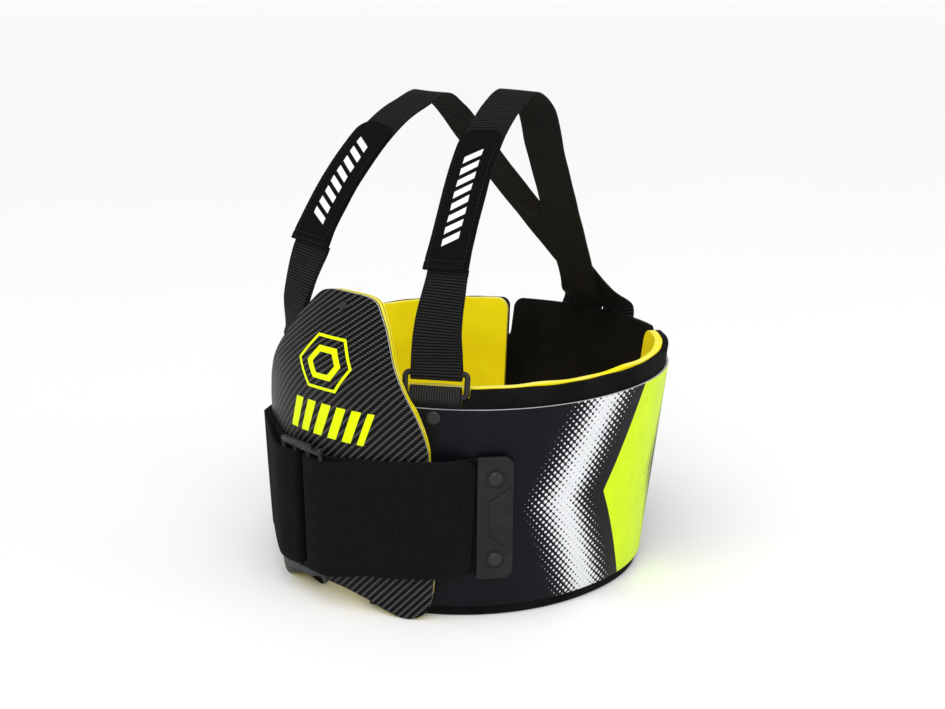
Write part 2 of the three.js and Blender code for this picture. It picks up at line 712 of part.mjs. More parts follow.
// The strap's whole line on the wearer's left, from the end of its doubled stretch behind,
// round the ring's bar, up the front, over the shoulder, across the back and down to its foot.
// level is 1 for the strap that passes outside where they cross and -1 for the inner one.
function strapLine(level) {
  const { first, rows, top } = frontCurve();
  const frame = ringFrame(1);
  const radius = ringWall / 2 + clearance + webbingWall / 2;
  const round = new THREE.Vector3().setFromMatrixColumn(frame, 0);
  const sideways = new THREE.Vector3(1, 0, 0);
  const cross = new THREE.Vector3(0, crossBack, crossHeight);
  const start = new THREE.Vector3(backStart.x, backStart.y, top.z - backStart.down);
  const face = foamFace + clearance + webbingWall / 2;
  const footX = webbingWidth / 2 + footGap / 2;
  const panelTop = shellHeight + foamRise;
  const footAngle = (z) => 180 + angleOf(footX, z, face);
  const foot = (z, clear = 0) => onBody(footAngle(z), z, face + clear);
  const way = cross.clone().sub(start);
  const out = new THREE.Vector3().crossVectors(sideways, way).normalize().negate();
  if (out.y < 0) out.negate();
  const lift = level * (webbingWall + clearance) / 2;
  const beyond = (share) => {
    const place = start.clone().addScaledVector(way, share);
    return place.addScaledVector(out, lift * Math.min(1, share * 3));
  };
  const slack = level > 0 ? crossSlack : 0;
  const meet = (cross.z - (panelTop + 4)) / (start.z - cross.z);
  const curve = new THREE.CatmullRomCurve3([
    first, ...rows, top, beyond(0), beyond(0.25), beyond(0.5), beyond(0.75), beyond(1),
    beyond(1 + 0.6 * meet).addScaledVector(out, slack),
    beyond(1 + meet).lerp(foot(panelTop + 4, webbingWall + slack), 0.6).addScaledVector(out, slack / 2),
    foot(panelTop - 6, clearance + slack),
    foot(panelTop - footLength / 2),
    foot(panelTop - footLength),
  ], false, 'centripetal');
  const samples = [];
  const count = 4 * (curve.points.length - 1);
  for (let k = 0; k <= count; k++) samples.push(curve.getPoint(k / count));
  const footHint = onBody(footAngle(panelTop) - 1, panelTop, face).sub(foot(panelTop)).normalize();
  const hints = samples.map((_, k) => {
    const near = Math.max(0, 1 - k / 8);
    const late = THREE.MathUtils.clamp((k - count + 20) / 8, 0, 1);
    return sideways.clone().lerp(round, near).lerp(footHint, late).normalize();
  });
  const frames = bandFrames(samples, hints);
  const front = frames.slice(0, 4 * (rows.length + 1));
  const doubled = front.filter(({ point }) => point.z < mix(first.z, top.z, doubledShare)).slice(2);
  const behind = doubled.map(({ point, out: away }, k) => {
    const gap = mix(2 * radius, webbingWall + clearance, Math.min(1, (k + 2) / 6));
    return point.clone().addScaledVector(away, away.y > 0 ? gap : -gap);
  }).reverse();
  const fold = roundBar(frame, radius, barSpacing - ringWire / 2, -1, -1);
  const backSide = new THREE.Vector3(0, barSpacing + ringWire / 2, -radius).applyMatrix4(frame);
  const hintsBehind = behind.map((_, k) => hints[behind.length + 1 - k]);
  return {
    points: [...behind, backSide, ...fold, ...samples],
    hints: [...hintsBehind, round, ...fold.map(() => round), ...hints],
    front,
    first,
    top,
  };
}

const mirrored = (side, vector) => vector.clone().setX(vector.x * side);

function addStrap(side, name) {
  const { points, hints, front, first, top } = strapLine(-side);
  const [places, widths] = [points, hints].map((list) => list.map((one) => mirrored(side, one)));
  const line = bandFrames(places, widths);
  addPiece(`shoulder_strap_${name}`, 'webbing', band(line, webbingWidth, webbingWall));
  const [low, high] = [labelFrom, labelTo].map((share) => mix(first.z, top.z, share));
  const under = front.filter(({ point }) => point.z > low && point.z < high);
  const shift = webbingWall / 2 + clearance + labelWall / 2;
  const across = [-0.5, -0.35, 0, 0.35, 0.5];
  const label = gridSolid(under.length, across.length, (i, j, face) => {
    const { point, across: wide, out } = under[i];
    const away = out.y > 0 ? -1 : 1;
    const place = point.clone().addScaledVector(wide, across[j] * labelWidth);
    place.addScaledVector(out, away * (shift + (face - 0.5) * labelWall));
    if (i === under.length - 1) {
      const before = under[i - 1].point;
      const drop = roundOff((0.5 - Math.abs(across[j])) * labelWidth, labelCorner);
      place.addScaledVector(before.clone().sub(point).normalize(), drop);
    }
    return mirrored(side, place);
  });
  addPiece(`strap_label_${name}`, 'belt', label);
}

addPlate();
addBackPanel();
for (const [side, name] of [[1, 'left'], [-1, 'right']]) {
  addShell(side, name);
  addFoam(side, name);
  addLining(side, name);
  addBracket(side, name);
  addBelt(side, name);
  addRing(side, name);
  addTab(side, name);
  addStrap(side, name);
}
addBuckle();

export default group;
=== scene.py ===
import math
import bmesh
import bpy
import numpy as np
from mathutils import Matrix, Vector


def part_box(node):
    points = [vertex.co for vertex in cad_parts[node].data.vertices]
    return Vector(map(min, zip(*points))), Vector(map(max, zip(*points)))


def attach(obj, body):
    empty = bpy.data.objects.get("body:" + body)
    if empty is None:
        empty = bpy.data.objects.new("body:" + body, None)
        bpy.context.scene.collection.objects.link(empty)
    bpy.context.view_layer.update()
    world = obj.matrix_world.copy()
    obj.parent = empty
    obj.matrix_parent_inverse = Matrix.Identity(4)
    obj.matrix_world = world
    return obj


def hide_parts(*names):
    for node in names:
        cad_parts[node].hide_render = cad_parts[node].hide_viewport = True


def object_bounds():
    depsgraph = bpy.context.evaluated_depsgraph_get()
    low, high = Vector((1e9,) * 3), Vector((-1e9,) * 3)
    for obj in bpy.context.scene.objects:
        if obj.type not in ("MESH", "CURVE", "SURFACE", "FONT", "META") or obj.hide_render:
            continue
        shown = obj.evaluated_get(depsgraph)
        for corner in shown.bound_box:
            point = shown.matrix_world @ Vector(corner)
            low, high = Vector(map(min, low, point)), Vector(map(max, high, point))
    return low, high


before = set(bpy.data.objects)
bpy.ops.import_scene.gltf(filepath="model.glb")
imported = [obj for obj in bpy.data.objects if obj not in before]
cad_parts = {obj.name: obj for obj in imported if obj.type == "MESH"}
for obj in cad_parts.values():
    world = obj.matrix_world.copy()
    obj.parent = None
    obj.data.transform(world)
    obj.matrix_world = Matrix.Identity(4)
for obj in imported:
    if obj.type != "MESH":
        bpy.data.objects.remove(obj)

# Rib protector: smooth, finished pieces round the frame. Metres; heights are counted from the
# shells' lower edge, and lifted into the frame by hang.
cadLow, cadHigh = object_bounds()
mm = 0.001
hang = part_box("side_shell_left")[0].z
body = "root"
sides = [(1, "left"), (-1, "right")]
probe = 0.5 * mm  # half a step along a surface, to find its slope
probeAngle = 0.5

scene = bpy.context.scene
scene.view_settings.view_transform = "Standard"
print("frame loaded, shells' lower edge at", round(hang, 4))


# Node trees, shared by all the materials

def plug(tree, socket, value):
    if isinstance(value, bpy.types.NodeSocket):
        tree.links.new(value, socket)
    else:
        socket.default_value = value


def calc(tree, operation, first, second=0.0):
    node = tree.nodes.new("ShaderNodeMath")
    node.operation = operation
    plug(tree, node.inputs[0], first)
    plug(tree, node.inputs[1], second)
    return node.outputs[0]


def plus(tree, first, second):
    return calc(tree, "ADD", first, second)


def minus(tree, first, second):
    return calc(tree, "SUBTRACT", first, second)


def times(tree, first, second):
    return calc(tree, "MULTIPLY", first, second)


def spread(tree, value, low, high, toLow=0.0, toHigh=1.0, smooth=False):
    node = tree.nodes.new("ShaderNodeMapRange")
    node.interpolation_type = "SMOOTHSTEP" if smooth else "LINEAR"
    names = ("Value", "From Min", "From Max", "To Min", "To Max")
    for name, number in zip(names, (value, low, high, toLow, toHigh)):
        plug(tree, node.inputs[name], number)
    return node.outputs["Result"]


def blendColour(tree, factor, first, second):
    node = tree.nodes.new("ShaderNodeMix")
    node.data_type = "RGBA"
    plug(tree, node.inputs[0], factor)
    for socket, colour in ((node.inputs[6], first), (node.inputs[7], second)):
        plug(tree, socket, colour if isinstance(colour, bpy.types.NodeSocket) else (*colour, 1.0))
    return node.outputs[2]


def noise(tree, scale, detail):
    place = tree.nodes.new("ShaderNodeTexCoord")
    node = tree.nodes.new("ShaderNodeTexNoise")
    node.inputs["Scale"].default_value = scale
    node.inputs["Detail"].default_value = detail
    tree.links.new(place.outputs["Object"], node.inputs["Vector"])
    return node.outputs["Fac"]


def surfaceCoordinates(tree):
    source = tree.nodes.new("ShaderNodeUVMap")
    source.uv_map = "surface"
    split = tree.nodes.new("ShaderNodeSeparateXYZ")
    tree.links.new(source.outputs["UV"], split.inputs[0])
    return split.outputs["X"], split.outputs["Y"]


def bump(tree, height, distance, strength):
    node = tree.nodes.new("ShaderNodeBump")
    node.inputs["Distance"].default_value = distance
    node.inputs["Strength"].default_value = strength
    plug(tree, node.inputs["Height"], height)
    return node.outputs["Normal"]


def within(tree, value, low, high):  # 1 between two limits
    return times(tree, calc(tree, "GREATER_THAN", value, low), calc(tree, "LESS_THAN", value, high))


def slantedBars(tree, along, across, bars):  # 1 on a row of bars that lean
    leaning = minus(tree, minus(tree, along, bars["from"]), times(tree, across, bars["slant"]))
    cell = calc(tree, "FRACT", calc(tree, "DIVIDE", leaning, bars["pitch"]))
    inBar = calc(tree, "LESS_THAN", cell, bars["fill"])
    inLength = within(tree, leaning, 0, bars["length"])
    inHeight = within(tree, across, bars["low"], bars["high"])
    return times(tree, inBar, times(tree, inLength, inHeight))


def hexagonLine(tree, u, v, hexagon):  # 1 on the outline of a hexagon
    x = calc(tree, "ABSOLUTE", minus(tree, u, hexagon["u"]))
    y = calc(tree, "ABSOLUTE", minus(tree, v, hexagon["v"]))
    slope = plus(tree, times(tree, x, math.sin(math.pi / 3)), times(tree, y, 0.5))
    inner = hexagon["radius"] - hexagon["line"]
    return within(tree, calc(tree, "MAXIMUM", slope, y), inner, hexagon["radius"])


def newMaterial(name, colour, roughness, **extra):
    material = bpy.data.materials.new(name)
    material.use_nodes = True
    shader = material.node_tree.nodes["Principled BSDF"]
    shader.inputs["Base Color"].default_value = (*colour, 1.0)
    shader.inputs["Roughness"].default_value = roughness
    for key, value in extra.items():
        shader.inputs[key.replace("_", " ")].default_value = value
    material.diffuse_color = (*colour, 1.0)
    return material, material.node_tree, shader.inputs


# Foam: a matt skin with fine pores, whose hollows are painted darker as painted shade, and a slow random
# change of tone
foamLook = {
    "yellow": (0.98, 0.82, 0.004),
    "yellowDeep": (0.90, 0.73, 0.003),
    "yellowEdge": (0.90, 0.83, 0.19),
    "black": (0.0032, 0.0029, 0.0027),
    "blackWorn": (0.0066, 0.0060, 0.0056),
    "cloudScale": 22.0,
    "grainScale": 500.0,
    "poreScale": 1900.0,
    "poreDepth": 0.12 * mm,
}


def foamMaterial(name, light, deep, roughness):
    material, tree, shader = newMaterial(name, light, roughness, Specular_IOR_Level=0.08)
    cloud = noise(tree, foamLook["cloudScale"], 4.0)
    cloudTone = spread(tree, cloud, 0.35, 0.65, smooth=True)
    pores = noise(tree, foamLook["poreScale"], 2.0)
    # painted shade: where the pores dip, the skin takes the deeper tone
    poreShade = spread(tree, pores, 0.30, 0.42)
    tint = blendColour(tree, cloudTone, light, deep)
    plug(tree, shader["Base Color"], blendColour(tree, poreShade, deep, tint))
    fine = plus(tree, pores, times(tree, noise(tree, foamLook["grainScale"], 2.0), 0.6))
    plug(tree, shader["Normal"], bump(tree, fine, foamLook["poreDepth"], 0.55))
    plug(tree, shader["Roughness"], spread(tree, cloud, 0.3, 0.7, roughness - 0.07, roughness + 0.05))
    return material


# Twill-woven carbon: two tows over, two under, each step shifted by one. The painted bars lean, and
# their row is counted from where its lean meets height 0.
twill = {
    "tow": 1.62 * mm,
    "warp": (0.0022, 0.0022, 0.0025),
    # painted highlight: the weft tows are drawn lighter for the light they catch; both ways of the weave
    # are black carbon
    "weftHighlight": (0.115, 0.110, 0.105),
    # painted shade in the dips between the tows
    "gap": (0.0008, 0.0008, 0.0008),
    "depth": 0.2 * mm,
    "paint": (0.74, 0.93, 0.0),
}
plateBars = {
    "from": -87.4 * mm,
    "length": 76 * mm,
    "pitch": 14 * mm,
    "fill": 0.6,
    "slant": 0.38,
    "low": 130 * mm,
    "high": 157 * mm,
}
plateHexagons = [
    {"u": 0, "v": 191 * mm, "radius": 23 * mm, "line": 2.4 * mm},
    {"u": 0, "v": 191 * mm, "radius": 14 * mm, "line": 5 * mm},
]


def twillMaterial():
    material, tree, shader = newMaterial(
        "wovenCarbon", twill["warp"], 0.36, Coat_Weight=0.04, Coat_Roughness=0.2, Specular_IOR_Level=0.06)
    u, v = surfaceCoordinates(tree)
    across, along = (calc(tree, "DIVIDE", value, twill["tow"]) for value in (u, v))
    cellU, cellV = (calc(tree, "FLOOR", value) for value in (across, along))
    restU, restV = (calc(tree, "FRACT", value) for value in (across, along))
    phase = calc(tree, "FLOORED_MODULO", minus(tree, cellU, cellV), 4.0)
    warpOver = calc(tree, "LESS_THAN", phase, 1.5)
    weftOver = minus(tree, 1.0, warpOver)

    def crown(value):  # 0 at both ends of a stretch, 1 in its middle
        off = minus(tree, times(tree, value, 2.0), 1.0)
        return minus(tree, 1.0, times(tree, off, off))

    def towHeight(start, restAlong, restAcross):
        run = times(tree, plus(tree, start, restAlong), 0.5)
        return times(tree, plus(tree, crown(run), crown(restAcross)), 0.5)

    warpHeight = towHeight(minus(tree, 1.0, phase), restV, restU)
    weftHeight = towHeight(minus(tree, phase, 2.0), restU, restV)
    height = plus(tree, times(tree, warpHeight, warpOver), times(tree, weftHeight, weftOver))
    strands = noise(tree, 900.0, 2.0)
    # painted highlight and shade: weft tows and tow crowns are drawn lighter, the dips between them darker
    tow = blendColour(tree, weftOver, twill["warp"], twill["weftHighlight"])
    lit = times(tree, spread(tree, height, 0.45, 1.0), spread(tree, strands, 0.2, 0.8, 0.7, 1.0))
    woven = blendColour(tree, lit, twill["gap"], tow)
    painted = slantedBars(tree, u, v, plateBars)
    for hexagon in plateHexagons:
        painted = calc(tree, "MAXIMUM", painted, hexagonLine(tree, u, v, hexagon))
    plug(tree, shader["Base Color"], blendColour(tree, painted, woven, twill["paint"]))
    plug(tree, shader["Roughness"], spread(tree, strands, 0.2, 0.8, 0.28, 0.42))
    soft = minus(tree, 1.0, times(tree, painted, 0.6))
    plug(tree, shader["Normal"], bump(tree, times(tree, height, soft), twill["depth"], 0.7))
    return material


# The shells' print: chevrons of round dots that grow and shrink, and a yellow band that fades into
# dots and ends in a line. The surface map gives the way round from the front and the height.
shellPrint = {
    "ground": (0.0018, 0.0020, 0.0042),
    "pale": (0.70, 0.71, 0.73),
    "bright": (0.60, 0.83, 0.0),
    "dotPitch": 4.1 * mm,
    "dotReach": 0.72,
    "chevronSlope": 0.42,
    "paleStart": 158 * mm,
    "palePeak": 196 * mm,
    "paleEnd": 226 * mm,
    "bandStart": 236 * mm,
    "bandFade": 286 * mm,
    "bandEnd": 332 * mm,
    "lineStart": 344 * mm,
    "lineEnd": 350 * mm,
}


def printMaterial():
    p = shellPrint
    material, tree, shader = newMaterial(
        "printedShell", p["ground"], 0.42, Coat_Weight=0.02, Coat_Roughness=0.3, Specular_IOR_Level=0.12)
    u, v = surfaceCoordinates(tree)
    fromMiddle = calc(tree, "ABSOLUTE", minus(tree, v, bodyOval["shellHeight"] / 2))
    reach = minus(tree, u, times(tree, fromMiddle, p["chevronSlope"]))

    def fromDot(value):  # distance from the nearest row of dots, in cells, squared
        cell = calc(tree, "FRACT", calc(tree, "DIVIDE", value, p["dotPitch"] * math.sqrt(2)))
        off = minus(tree, cell, 0.5)
        return times(tree, off, off)

    def dotsUnder(fill):  # 1 inside the dots of a slanted grid, whose share of a cell is fill
        away = calc(tree, "SQRT", plus(tree, fromDot(plus(tree, u, v)), fromDot(minus(tree, u, v))))
        return calc(tree, "LESS_THAN", away, times(tree, fill, p["dotReach"]))

    rising = spread(tree, reach, p["paleStart"], p["palePeak"])
    falling = spread(tree, reach, p["palePeak"], p["paleEnd"], 1.0, 0.0)
    paleDots = dotsUnder(times(tree, calc(tree, "MINIMUM", rising, falling), 0.92))
    fade = spread(tree, reach, p["bandFade"], p["bandEnd"], 1.05, 0.0)
    inBand = calc(tree, "GREATER_THAN", reach, p["bandStart"])
    brightDots = times(tree, dotsUnder(fade), inBand)
    bright = calc(tree, "MAXIMUM", brightDots, within(tree, reach, p["lineStart"], p["lineEnd"]))
    scuff = spread(tree, noise(tree, 60.0, 5.0), 0.3, 0.75, 0.92, 1.0)
    ground = blendColour(tree, noise(tree, 8.0, 2.0), p["ground"], [c * 1.35 for c in p["ground"]])
    withPale = blendColour(tree, times(tree, paleDots, scuff), ground, p["pale"])
    printed = blendColour(tree, times(tree, bright, scuff), withPale, p["bright"])
    plug(tree, shader["Base Color"], printed)
    plug(tree, shader["Roughness"], spread(tree, noise(tree, 140.0, 4.0), 0.3, 0.7, 0.36, 0.50))
    plug(tree, shader["Normal"], bump(tree, noise(tree, 700.0, 3.0), 0.05 * mm, 0.25))
    return material


# Woven cloths: ribs over and under, with a little fuzz. Above 0, the rib floor flattens the ribs.
# In these weaves "light" is a painted highlight on the crowns of the ribs and warps; "dark" is the cloth's
# black, left in the hollows as painted shade.
strapWeave = {
    "dark": (0.0009, 0.0009, 0.0009),
    "light": (0.046, 0.044, 0.044),
    "ribPitch": 2.3 * mm,
    "warpPitch": 1.5 * mm,
    "ribFloor": 0.0,
    "depth": 0.5 * mm,
}
tabWeave = {
    "dark": (0.0009, 0.0009, 0.0009),
    "light": (0.040, 0.038, 0.037),
    "ribPitch": 90.0 * mm,
    "warpPitch": 2.0 * mm,
    "ribFloor": 0.95,
    "depth": 0.4 * mm,
}
labelWeave = {
    "dark": (0.0016, 0.0015, 0.0014),
    "light": (0.0068, 0.0062, 0.0058),
    "ribPitch": 0.8 * mm,
    "warpPitch": 0.8 * mm,
    "ribFloor": 0.0,
    "depth": 0.1 * mm,
}
labelBars = {
    "colour": (0.80, 0.81, 0.82),
    "from": 22 * mm,
    "length": 76 * mm,
    "pitch": 9.6 * mm,
    "fill": 0.58,
    "slant": 0.45,
    "low": -8 * mm,
    "high": 8 * mm,
}


def webbingMaterial(name, weave, bars=None):
    material, tree, shader = newMaterial(
        name, weave["dark"], 0.78, Sheen_Weight=0.01, Sheen_Roughness=0.5, Specular_IOR_Level=0.06)
    u, v = surfaceCoordinates(tree)
    row = calc(tree, "DIVIDE", v, weave["ribPitch"])
    shifted = times(tree, calc(tree, "FLOORED_MODULO", calc(tree, "FLOOR", row), 2.0), 0.5)
    column = plus(tree, calc(tree, "DIVIDE", u, weave["warpPitch"]), shifted)
    ribs = calc(tree, "ABSOLUTE", calc(tree, "SINE", times(tree, row, math.pi)))
    ribs = spread(tree, ribs, 0.0, 1.0, weave["ribFloor"], 1.0)
    warps = calc(tree, "ABSOLUTE", calc(tree, "SINE", times(tree, column, math.pi)))
    height = times(tree, calc(tree, "POWER", ribs, 2.0), calc(tree, "POWER", warps, 1.2))
    fuzz = noise(tree, 1600.0, 3.0)
    # painted highlight and shade: the crowns take the light colour, the hollows the dark one
    lit = times(tree, height, spread(tree, fuzz, 0.25, 0.75, 0.45, 1.0))
    woven = blendColour(tree, lit, weave["dark"], weave["light"])
    if bars:
        thin = spread(tree, fuzz, 0.25, 0.5, 0.86, 1.0)
        painted = times(tree, slantedBars(tree, v, u, bars), thin)
        woven = blendColour(tree, painted, woven, bars["colour"])
    plug(tree, shader["Base Color"], woven)
    both = plus(tree, height, times(tree, fuzz, 0.35))
    plug(tree, shader["Normal"], bump(tree, both, weave["depth"], 0.8))
    plug(tree, shader["Roughness"], spread(tree, height, 0.0, 1.0, 0.9, 0.68))
    return material


# Brushed loops of the belts: a deep nap with worn patches
brushed = {
    "base": (0.003, 0.003, 0.003),
    "deep": (0.0014, 0.0013, 0.0013),
    "light": (0.0125, 0.0116, 0.0112),
    "worn": (0.0070, 0.0062, 0.0058),
    "depth": 0.25 * mm,
}


def brushedMaterial():
    material, tree, shader = newMaterial("brushedLoop", brushed["base"], 0.95, Sheen_Weight=0.012,
                                         Sheen_Roughness=0.6, Specular_IOR_Level=0.03)
    nap = noise(tree, 1300.0, 4.0)
    patch = noise(tree, 45.0, 4.0)
    tint = blendColour(tree, spread(tree, nap, 0.35, 0.75), brushed["deep"], brushed["light"])
    worn = spread(tree, patch, 0.4, 0.7, 0.0, 0.35)
    plug(tree, shader["Base Color"], blendColour(tree, worn, tint, brushed["worn"]))
    height = plus(tree, nap, times(tree, patch, 0.8))
    plug(tree, shader["Normal"], bump(tree, height, brushed["depth"], 0.7))
    return material


def plasticMaterial(name, colour, roughness, grain):
    material, tree, shader = newMaterial(name, colour, roughness, Specular_IOR_Level=0.2)
    cloud = noise(tree, 90.0, 4.0)
    rubbed = [c * 1.9 + 0.004 for c in colour]
    worn = spread(tree, cloud, 0.45, 0.8, 0.0, 0.6)
    plug(tree, shader["Base Color"], blendColour(tree, worn, colour, rubbed))
    plug(tree, shader["Roughness"], spread(tree, cloud, 0.3, 0.7, roughness - 0.06, roughness + 0.08))
    plug(tree, shader["Normal"], bump(tree, noise(tree, grain, 3.0), 0.06 * mm, 0.5))
    return material


def paleEdgeMaterial(name, colour):
    material, tree, shader = newMaterial(name, colour, 0.45)
    streak = noise(tree, 260.0, 3.0)
    dull = [c * 0.78 for c in colour]
    plug(tree, shader["Base Color"], blendColour(tree, spread(tree, streak, 0.35, 0.7), colour, dull))
    plug(tree, shader["Roughness"], spread(tree, streak, 0.3, 0.7, 0.38, 0.55))
    return material


# The oval body, with the same sizes as the frame
bodyOval = {
    "topWidth": 321 * mm,
    "topDepth": 321 * mm,
    "lowWidth": 288 * mm,
    "lowDepth": 296 * mm,
    "lowForward": 8.6 * mm,
    "shellHeight": 163 * mm,
    "power": 2.11,
}
bodyRadius = (bodyOval["topWidth"] + bodyOval["topDepth"] + bodyOval["lowWidth"] + bodyOval["lowDepth"]) / 8
layers = {
    "clearance": 0.3 * mm,
    "shellWall": 2.2 * mm,
    "foamWall": 5 * mm,
    "liningWall": 6 * mm,
    "padWall": 9 * mm,
    "plateWall": 2.2 * mm,
}
foamFace = -(layers["shellWall"] + layers["clearance"])
liningFace = foamFace - layers["foamWall"] - layers["clearance"]
plateFace = layers["padWall"] + layers["plateWall"] + 2 * layers["clearance"]


def lerp(first, second, share):
    return first + (second - first) * share


def onBody(angle, z, offset):  # degrees from the front, height, distance outside the shells
    angle, z, offset = np.broadcast_arrays(*(np.asarray(value, float) for value in (angle, z, offset)))
    share = z / bodyOval["shellHeight"]
    halfWidth = lerp(bodyOval["lowWidth"], bodyOval["topWidth"], share) / 2 + offset
    halfDepth = lerp(bodyOval["lowDepth"], bodyOval["topDepth"], share) / 2 + offset
    turned = np.radians(angle)
    sine, cosine = np.sin(turned), np.cos(turned)
    bowed = [np.sign(value) * np.abs(value) ** (2 / bodyOval["power"]) for value in (sine, cosine)]
    y = -halfDepth * bowed[1] - bodyOval["lowForward"] * (1 - share)
    return np.stack([halfWidth * bowed[0], y, z], -1)


def angleOf(x, z, offset):
    halfWidth = lerp(bodyOval["lowWidth"], bodyOval["topWidth"], z / bodyOval["shellHeight"]) / 2 + offset
    share = np.minimum(1, np.abs(x) / halfWidth) ** (bodyOval["power"] / 2)
    return np.degrees(np.arcsin(share)) * np.sign(x)


def arc(length):  # degrees round the body
    return np.degrees(length / bodyRadius)


def roundOff(distance, radius):  # how much lower an edge runs near a rounded corner
    inside = np.maximum(0, radius - distance)
    return radius - np.sqrt(np.maximum(0, radius * radius - inside * inside))


def cornerSteps(first):  # shares that crowd towards the end of a rounded corner
    return np.sin(np.linspace(first, 1, 10) * math.pi / 2)


def unit(vector):
    return vector / np.linalg.norm(vector, axis=-1, keepdims=True)


def frameOf(around, rising, place):  # columns: round the body, up it, out of it, place
    up = unit(rising - around * np.dot(rising, around))
    made = np.eye(4)
    made[:3] = np.stack([around, up, np.cross(around, up), place], 1)
    return made


def bodyFrame(angle, z, offset):
    around = unit(onBody(angle + probeAngle, z, offset) - onBody(angle - probeAngle, z, offset))
    rising = onBody(angle, z + probe, offset) - onBody(angle, z - probe, offset)
    return frameOf(around, rising, onBody(angle, z, offset))


def at(matrix, *point):
    return matrix[:3, :3] @ np.array(point, float) + matrix[:3, 3]


# Meshes

def newPiece(name, verts, faces, materials, uvs=None, faceMaterials=None, lift=hang):
    mesh = bpy.data.meshes.new(name)
    lifted = np.asarray(verts, float) + (0, 0, lift)
    mesh.from_pydata(lifted.tolist(), [], faces)
    for material in materials:
        mesh.materials.append(material)
    if faceMaterials is not None:
        mesh.polygons.foreach_set("material_index", faceMaterials)
    if uvs is not None:
        layer = mesh.uv_layers.new(name="surface")
        corners = np.zeros(len(mesh.loops), int)
        mesh.loops.foreach_get("vertex_index", corners)
        layer.data.foreach_set("uv", np.asarray(uvs, np.float32)[corners].ravel())
    shell = bmesh.new()
    shell.from_mesh(mesh)
    bmesh.ops.recalc_face_normals(shell, faces=shell.faces)
    shell.to_mesh(mesh)
    shell.free()
    mesh.polygons.foreach_set("use_smooth", [True] * len(mesh.polygons))
    piece = bpy.data.objects.new(name, mesh)
    scene.collection.objects.link(piece)
    return piece


# A closed slab between two grids of columns by rows
def slab(name, inner, outer, uvs, materials, bevel, segments=3, rimMaterial=0):
    columns, rows = outer.shape[:2]
    count = columns * rows
    verts = np.concatenate([inner.reshape(-1, 3), outer.reshape(-1, 3)])
    flat = np.concatenate([uvs.reshape(-1, 2)] * 2)
    starts = [base + i * rows for base in (0, count) for i in range(columns - 1)]
    faces = [(start + j, start + rows + j, start + rows + j + 1, start + j + 1)
             for start in starts for j in range(rows - 1)]
    loop = [i * rows for i in range(columns)] + [count - rows + j for j in range(1, rows)]
    loop += [i * rows + rows - 1 for i in range(columns - 2, -1, -1)] + list(range(rows - 2, 0, -1))
    rim = [(a, b, b + count, a + count) for a, b in zip(loop, loop[1:] + loop[:1])]
    kinds = [0] * len(faces) + [rimMaterial] * len(rim)
    return roundEdges(newPiece(name, verts, faces + rim, materials, flat, kinds), bevel, segments)


def circle(centre, radius, count=40):
    return [(centre[0] + radius * math.cos(t), centre[1] + radius * math.sin(t))
            for t in np.linspace(0, 2 * math.pi, count, endpoint=False)]


def ringFaces(rings, count, first=0, closed=False):  # quads between rings of count points each
    faces = []
    for k in range(rings if closed else rings - 1):
        here, there = first + k * count, first + (k + 1) % rings * count
        pairs = [(i, (i + 1) % count) for i in range(count)]
        faces += [(here + i, here + j, there + j, there + i) for i, j in pairs]
    return faces


def roundEdges(piece, width, segments=3):
    if width:
        made = piece.modifiers.new("rounding", "BEVEL")
        made.width = width
        made.segments = segments
        made.limit_method = "ANGLE"
        made.angle_limit = math.radians(40)
    return settle(piece)


def settle(piece):  # the modifiers' result becomes the plain mesh
    graph = bpy.context.evaluated_depsgraph_get()
    mesh = bpy.data.meshes.new_from_object(
        piece.evaluated_get(graph), preserve_all_data_layers=True, depsgraph=graph)
    piece.modifiers.clear()
    piece.data = mesh
    return piece


def joinMeshes(name, pieces):
    made = bmesh.new()
    materials = []
    for piece in pieces:
        offset = len(materials)
        materials += list(piece.data.materials)
        first = len(made.faces)
        made.from_mesh(piece.data)
        made.faces.ensure_lookup_table()
        for face in made.faces[first:]:
            face.material_index += offset
        bpy.data.objects.remove(piece)
    mesh = bpy.data.meshes.new(name)
    made.to_mesh(mesh)
    made.free()
    for material in materials:
        mesh.materials.append(material)
    joined = bpy.data.objects.new(name, mesh)
    scene.collection.objects.link(joined)
    return joined


def wear(piece, slot, *nodes):
    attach(piece, body)
    if nodes:
        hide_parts(*nodes)
    return piece


def wave(values, waves):  # a slow, even ripple from a few sines: (amount, length, shift)
    return sum(amount * np.sin(values / length * 2 * math.pi + shift) for amount, length, shift in waves)


def lengthAlong(points):
    return np.concatenate([[0], np.cumsum(np.linalg.norm(np.diff(points, axis=0), axis=-1))])


def resample(places, stops, points):  # points read at places between their stops
    return np.stack([np.interp(places, stops, points[:, k]) for k in range(3)], -1)


def sheetRound(angles, low, high, rows):  # grids of angles and heights
    share = np.linspace(0, 1, rows)[None, :]
    return angles[:, None] + 0 * share, low[:, None] * (1 - share) + high[:, None] * share


def surfaceMap(angles, heights):
    return np.stack([np.radians(np.abs(angles)) * bodyRadius, heights], -1)


def bodySheet(name, side, around, heights, faces, materials, bevel, segments, rimMaterial=0):
    inner, outer = (onBody(side * around, heights, face) for face in faces)
    return slab(name, inner, outer, surfaceMap(around, heights), materials, bevel, segments, rimMaterial)


# Camera, floor and light
cameraView = {
    "azimuth": 44.24,
    "pitch": 14.69,
    "place": (975.0 * mm, -1004.5 * mm, 530.9 * mm),
    "focal": 1705.25,
    "imageWidth": 945,
    "sensor": 36.0,
}


